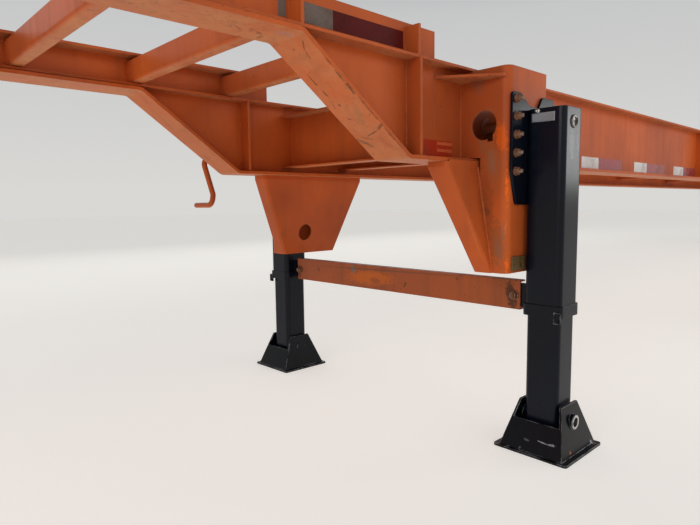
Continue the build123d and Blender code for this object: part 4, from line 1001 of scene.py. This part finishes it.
# Mud flaps: a clamp strip across the top of each, held by five bolts
flap = {"x": -7.8325, "y": (0.70, 1.28), "z": (0.992, 1.022), "strip": 0.004, "bolts": 5, "margin": 0.04}
flapBolt = dict(coverNut, acrossFlats=0.016, washerRadius=0.011)
(near, far), (low, high) = flap["y"], flap["z"]
stripFace = flap["x"] - flap["strip"]
pitch = (far - near - 2 * flap["margin"]) / (flap["bolts"] - 1)
bars, spots = [], []
for side in hands:
    bars.append(addBlock((stripFace, side * near, low), (flap["x"], side * far, high), 0.001))
    for i in range(flap["bolts"]):
        place = (stripFace, side * (near + flap["margin"] + i * pitch), (low + high) / 2)
        spots.append(standing(place, (-1, 0, 0), i))
finishPiece(joined(*bars), "mud_flap_clamps", platedSteel)
fitNuts("mud_flap_bolts", flapBolt, spots, rustyBolt)

# Air tank: straps, end ports and a drain cock below
tank = {"x": -1.502, "z": 1.091, "strap": 0.17, "port": 0.30, "drain": 0.1205}
strapShape = ((-0.018, 0.1195), (-0.018, 0.1222), (0.018, 0.1222), (0.018, 0.1195))
spots = [standing((tank["x"], side * tank["strap"], tank["z"]), (0, 1, 0)) for side in hands]
finishPiece(copies(spunProfile(strapShape, 48, True), spots), "air_tank_straps", platedSteel)
portShape = ((0, 0), (0, 0.016), (0.012, 0.016), (0.014, 0.011), (0.022, 0.011), (0.024, 0.008), (0.024, 0))
spots = [standing((tank["x"], side * tank["port"], tank["z"]), (0, side, 0)) for side in hands]
spots.append(standing((tank["x"], 0, tank["z"] - tank["drain"]), (0, 0, -1)))
finishPiece(copies(spunProfile(portShape, 16), spots), "air_tank_ports", castZinc)

# Twist-lock handles: ridged grips at their free ends
grip = {"x": -8.0095, "y": 1.0215, "z": 1.068, "start": 0.004, "pitch": 0.005, "ridges": 10}
gripShape = [(0, 0), (0, 0.012)]
gripShape += [(grip["start"] + grip["pitch"] * i, 0.0125 if i % 2 else 0.0138) for i in range(grip["ridges"])]
gripShape += [(0.054, 0.011), (0.056, 0)]
spots = [standing((grip["x"], side * grip["y"], grip["z"]), (0, -side, 0)) for side in hands]
grips = copies(spunProfile(gripShape, 20), spots)
finishPiece(grips, "twist_lock_grips", flapRubber, angle=50)

# Air couplings and socket: seals and a hinged lid
coupling = {"y": 0.150, "rise": 0.012, "socketRise": 0.008}
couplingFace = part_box("service_couplings")[1].x
socketHeight = (noseLow.z + noseHigh.z) / 2 + coupling["socketRise"]
sealHeight = socketHeight + coupling["rise"]
sealShape = ((-0.001, 0.010), (-0.001, 0.019), (0.002, 0.019), (0.0035, 0.016), (0.002, 0.012))
spots = [standing((couplingFace, side * coupling["y"], sealHeight), (1, 0, 0)) for side in hands]
seals = copies(spunProfile(sealShape, 28, True), spots)
finishPiece(seals, "coupling_seals", flapRubber, angle=50)
lidShape = (
    (0, 0), (0, 0.0325), (0.002, 0.034), (0.006, 0.0335), (0.008, 0.030), (0.008, 0.012), (0.0095, 0.010),
    (0.0095, 0),
)
cover = copies(spunProfile(lidShape, 32), [standing((couplingFace - 0.002, 0, socketHeight), (1, 0, 0))])
low = (couplingFace - 0.02, -0.014, socketHeight + 0.026)
high = (couplingFace + 0.006, 0.014, socketHeight + 0.040)
hinge = addBlock(low, high, 0.003)
finishPiece(joined(cover, hinge), "socket_lid", castZinc, angle=40)
marker = {"y": 1.21, "z": 1.318, "radius": 0.022}
spots = [standing((noseHigh.x, side * marker["y"], marker["z"]), (1, 0, 0)) for side in hands]
frontMarkers = copies(makeRound(lensShape, marker["radius"]), spots)
finishPiece(frontMarkers, "front_marker_lenses", amberLens, angle=50)
print("lamps, flaps, tank and couplings made")

# Floor, light and camera
deselect()
bpy.ops.mesh.primitive_plane_add(size=90, location=(0, 0, 0))
floor = bpy.context.object
floor.name = "floor"
floorMaterial, floorTree, floorPlace = newMaterial("paleFloor")
cloudy = addNode(floorTree, "TexNoise", {"Vector": floorPlace, "Scale": 1.4, "Detail": 3.0})
floorColour = addNode(floorTree, "Mix", {0: cloudy, 6: "D2CFCA", 7: "DAD8D3"}, 2, data_type="RGBA")
floorSurface = {"Base Color": floorColour, "Roughness": 0.9}
floorSurface |= {"Emission Color": "F2EFEA", "Emission Strength": 0.6}
floor.data.materials.append(finishMaterial(floorMaterial, floorTree, floorSurface))

# bright near the horizon and dark overhead, which shows in the gloss of the rails and legs
sky = {"low": "E3E2DF", "middle": "CCCDCE", "high": "3E3F42", "strength": 0.9}
world = bpy.data.worlds.new("softStudio")
bpy.context.scene.world = world
world.use_nodes = True
worldTree = world.node_tree
worldTree.nodes.clear()
skyPlace = addNode(worldTree, "TexCoord", output="Generated")
skyHeight = addNode(worldTree, "SeparateXYZ", {0: skyPlace}, 2)
nearHorizon = addNode(worldTree, "MapRange", {"Value": skyHeight, "From Min": 0.03, "From Max": 0.35})
overhead = addNode(worldTree, "MapRange", {"Value": skyHeight, "From Min": 0.3, "From Max": 0.75})
skyColour = addNode(worldTree, "Mix", {0: nearHorizon, 6: sky["low"], 7: sky["middle"]}, 2, data_type="RGBA")
skyColour = addNode(worldTree, "Mix", {0: overhead, 6: skyColour, 7: sky["high"]}, 2, data_type="RGBA")
background = addNode(worldTree, "Background", {"Color": skyColour, "Strength": sky["strength"]})
addNode(worldTree, "OutputWorld", {"Surface": background})

softLights = [
    {"name": "leftSoftbox", "place": (0, 8.0, 4.5), "aim": (0, 0.4, 0.6), "size": (16, 3), "power": 170},
    {"name": "rightFill", "place": (0, -8.0, 4.5), "aim": (0, 0, 0.6), "size": (16, 3), "power": 150},
    {
        "name": "frontFill", "place": (legX + 9, 2.0, 3.4), "aim": (legX, 0.4, 0.8), "size": (7, 3),
        "power": 215,
    },
    {
        "name": "legSheen", "place": (legX - 2.0, 1.75, 1.22), "aim": (legX, 0.78, 1.0), "size": (0.45, 0.55),
        "power": 4.2,
    },
]
for light in softLights:
    source = bpy.data.lights.new(light["name"], "AREA")
    source.shape = "RECTANGLE"
    source.size, source.size_y = light["size"]
    source.energy = light["power"]
    holder = bpy.data.objects.new(light["name"], source)
    bpy.context.scene.collection.objects.link(holder)
    holder.location = light["place"]
    towards = Vector(light["aim"]) - Vector(light["place"])
    holder.rotation_euler = towards.to_track_quat("-Z", "Y").to_euler()

cameraLook = {
    "place": (legX + 1.7578, 1.6044, 0.8247), "tilt": 84.109, "heading": 136.618, "roll": -0.691,
    "lens": 29.01, "sensor": 36, "nearest": 0.05,
}
cameraData = bpy.data.cameras.new("photoView")
cameraData.lens = cameraLook["lens"]
cameraData.sensor_width = cameraLook["sensor"]
cameraData.clip_start = cameraLook["nearest"]
camera = bpy.data.objects.new("photoView", cameraData)
bpy.context.scene.collection.objects.link(camera)
aim = Euler((radians(cameraLook["tilt"]), 0, radians(cameraLook["heading"]))).to_matrix()
aim = aim @ Matrix.Rotation(radians(cameraLook["roll"]), 3, "Z")
camera.location = cameraLook["place"]
camera.rotation_euler = aim.to_euler()
bpy.context.scene.camera = camera
bpy.context.scene.view_settings.view_transform = "Standard"
print("floor, light and camera made")
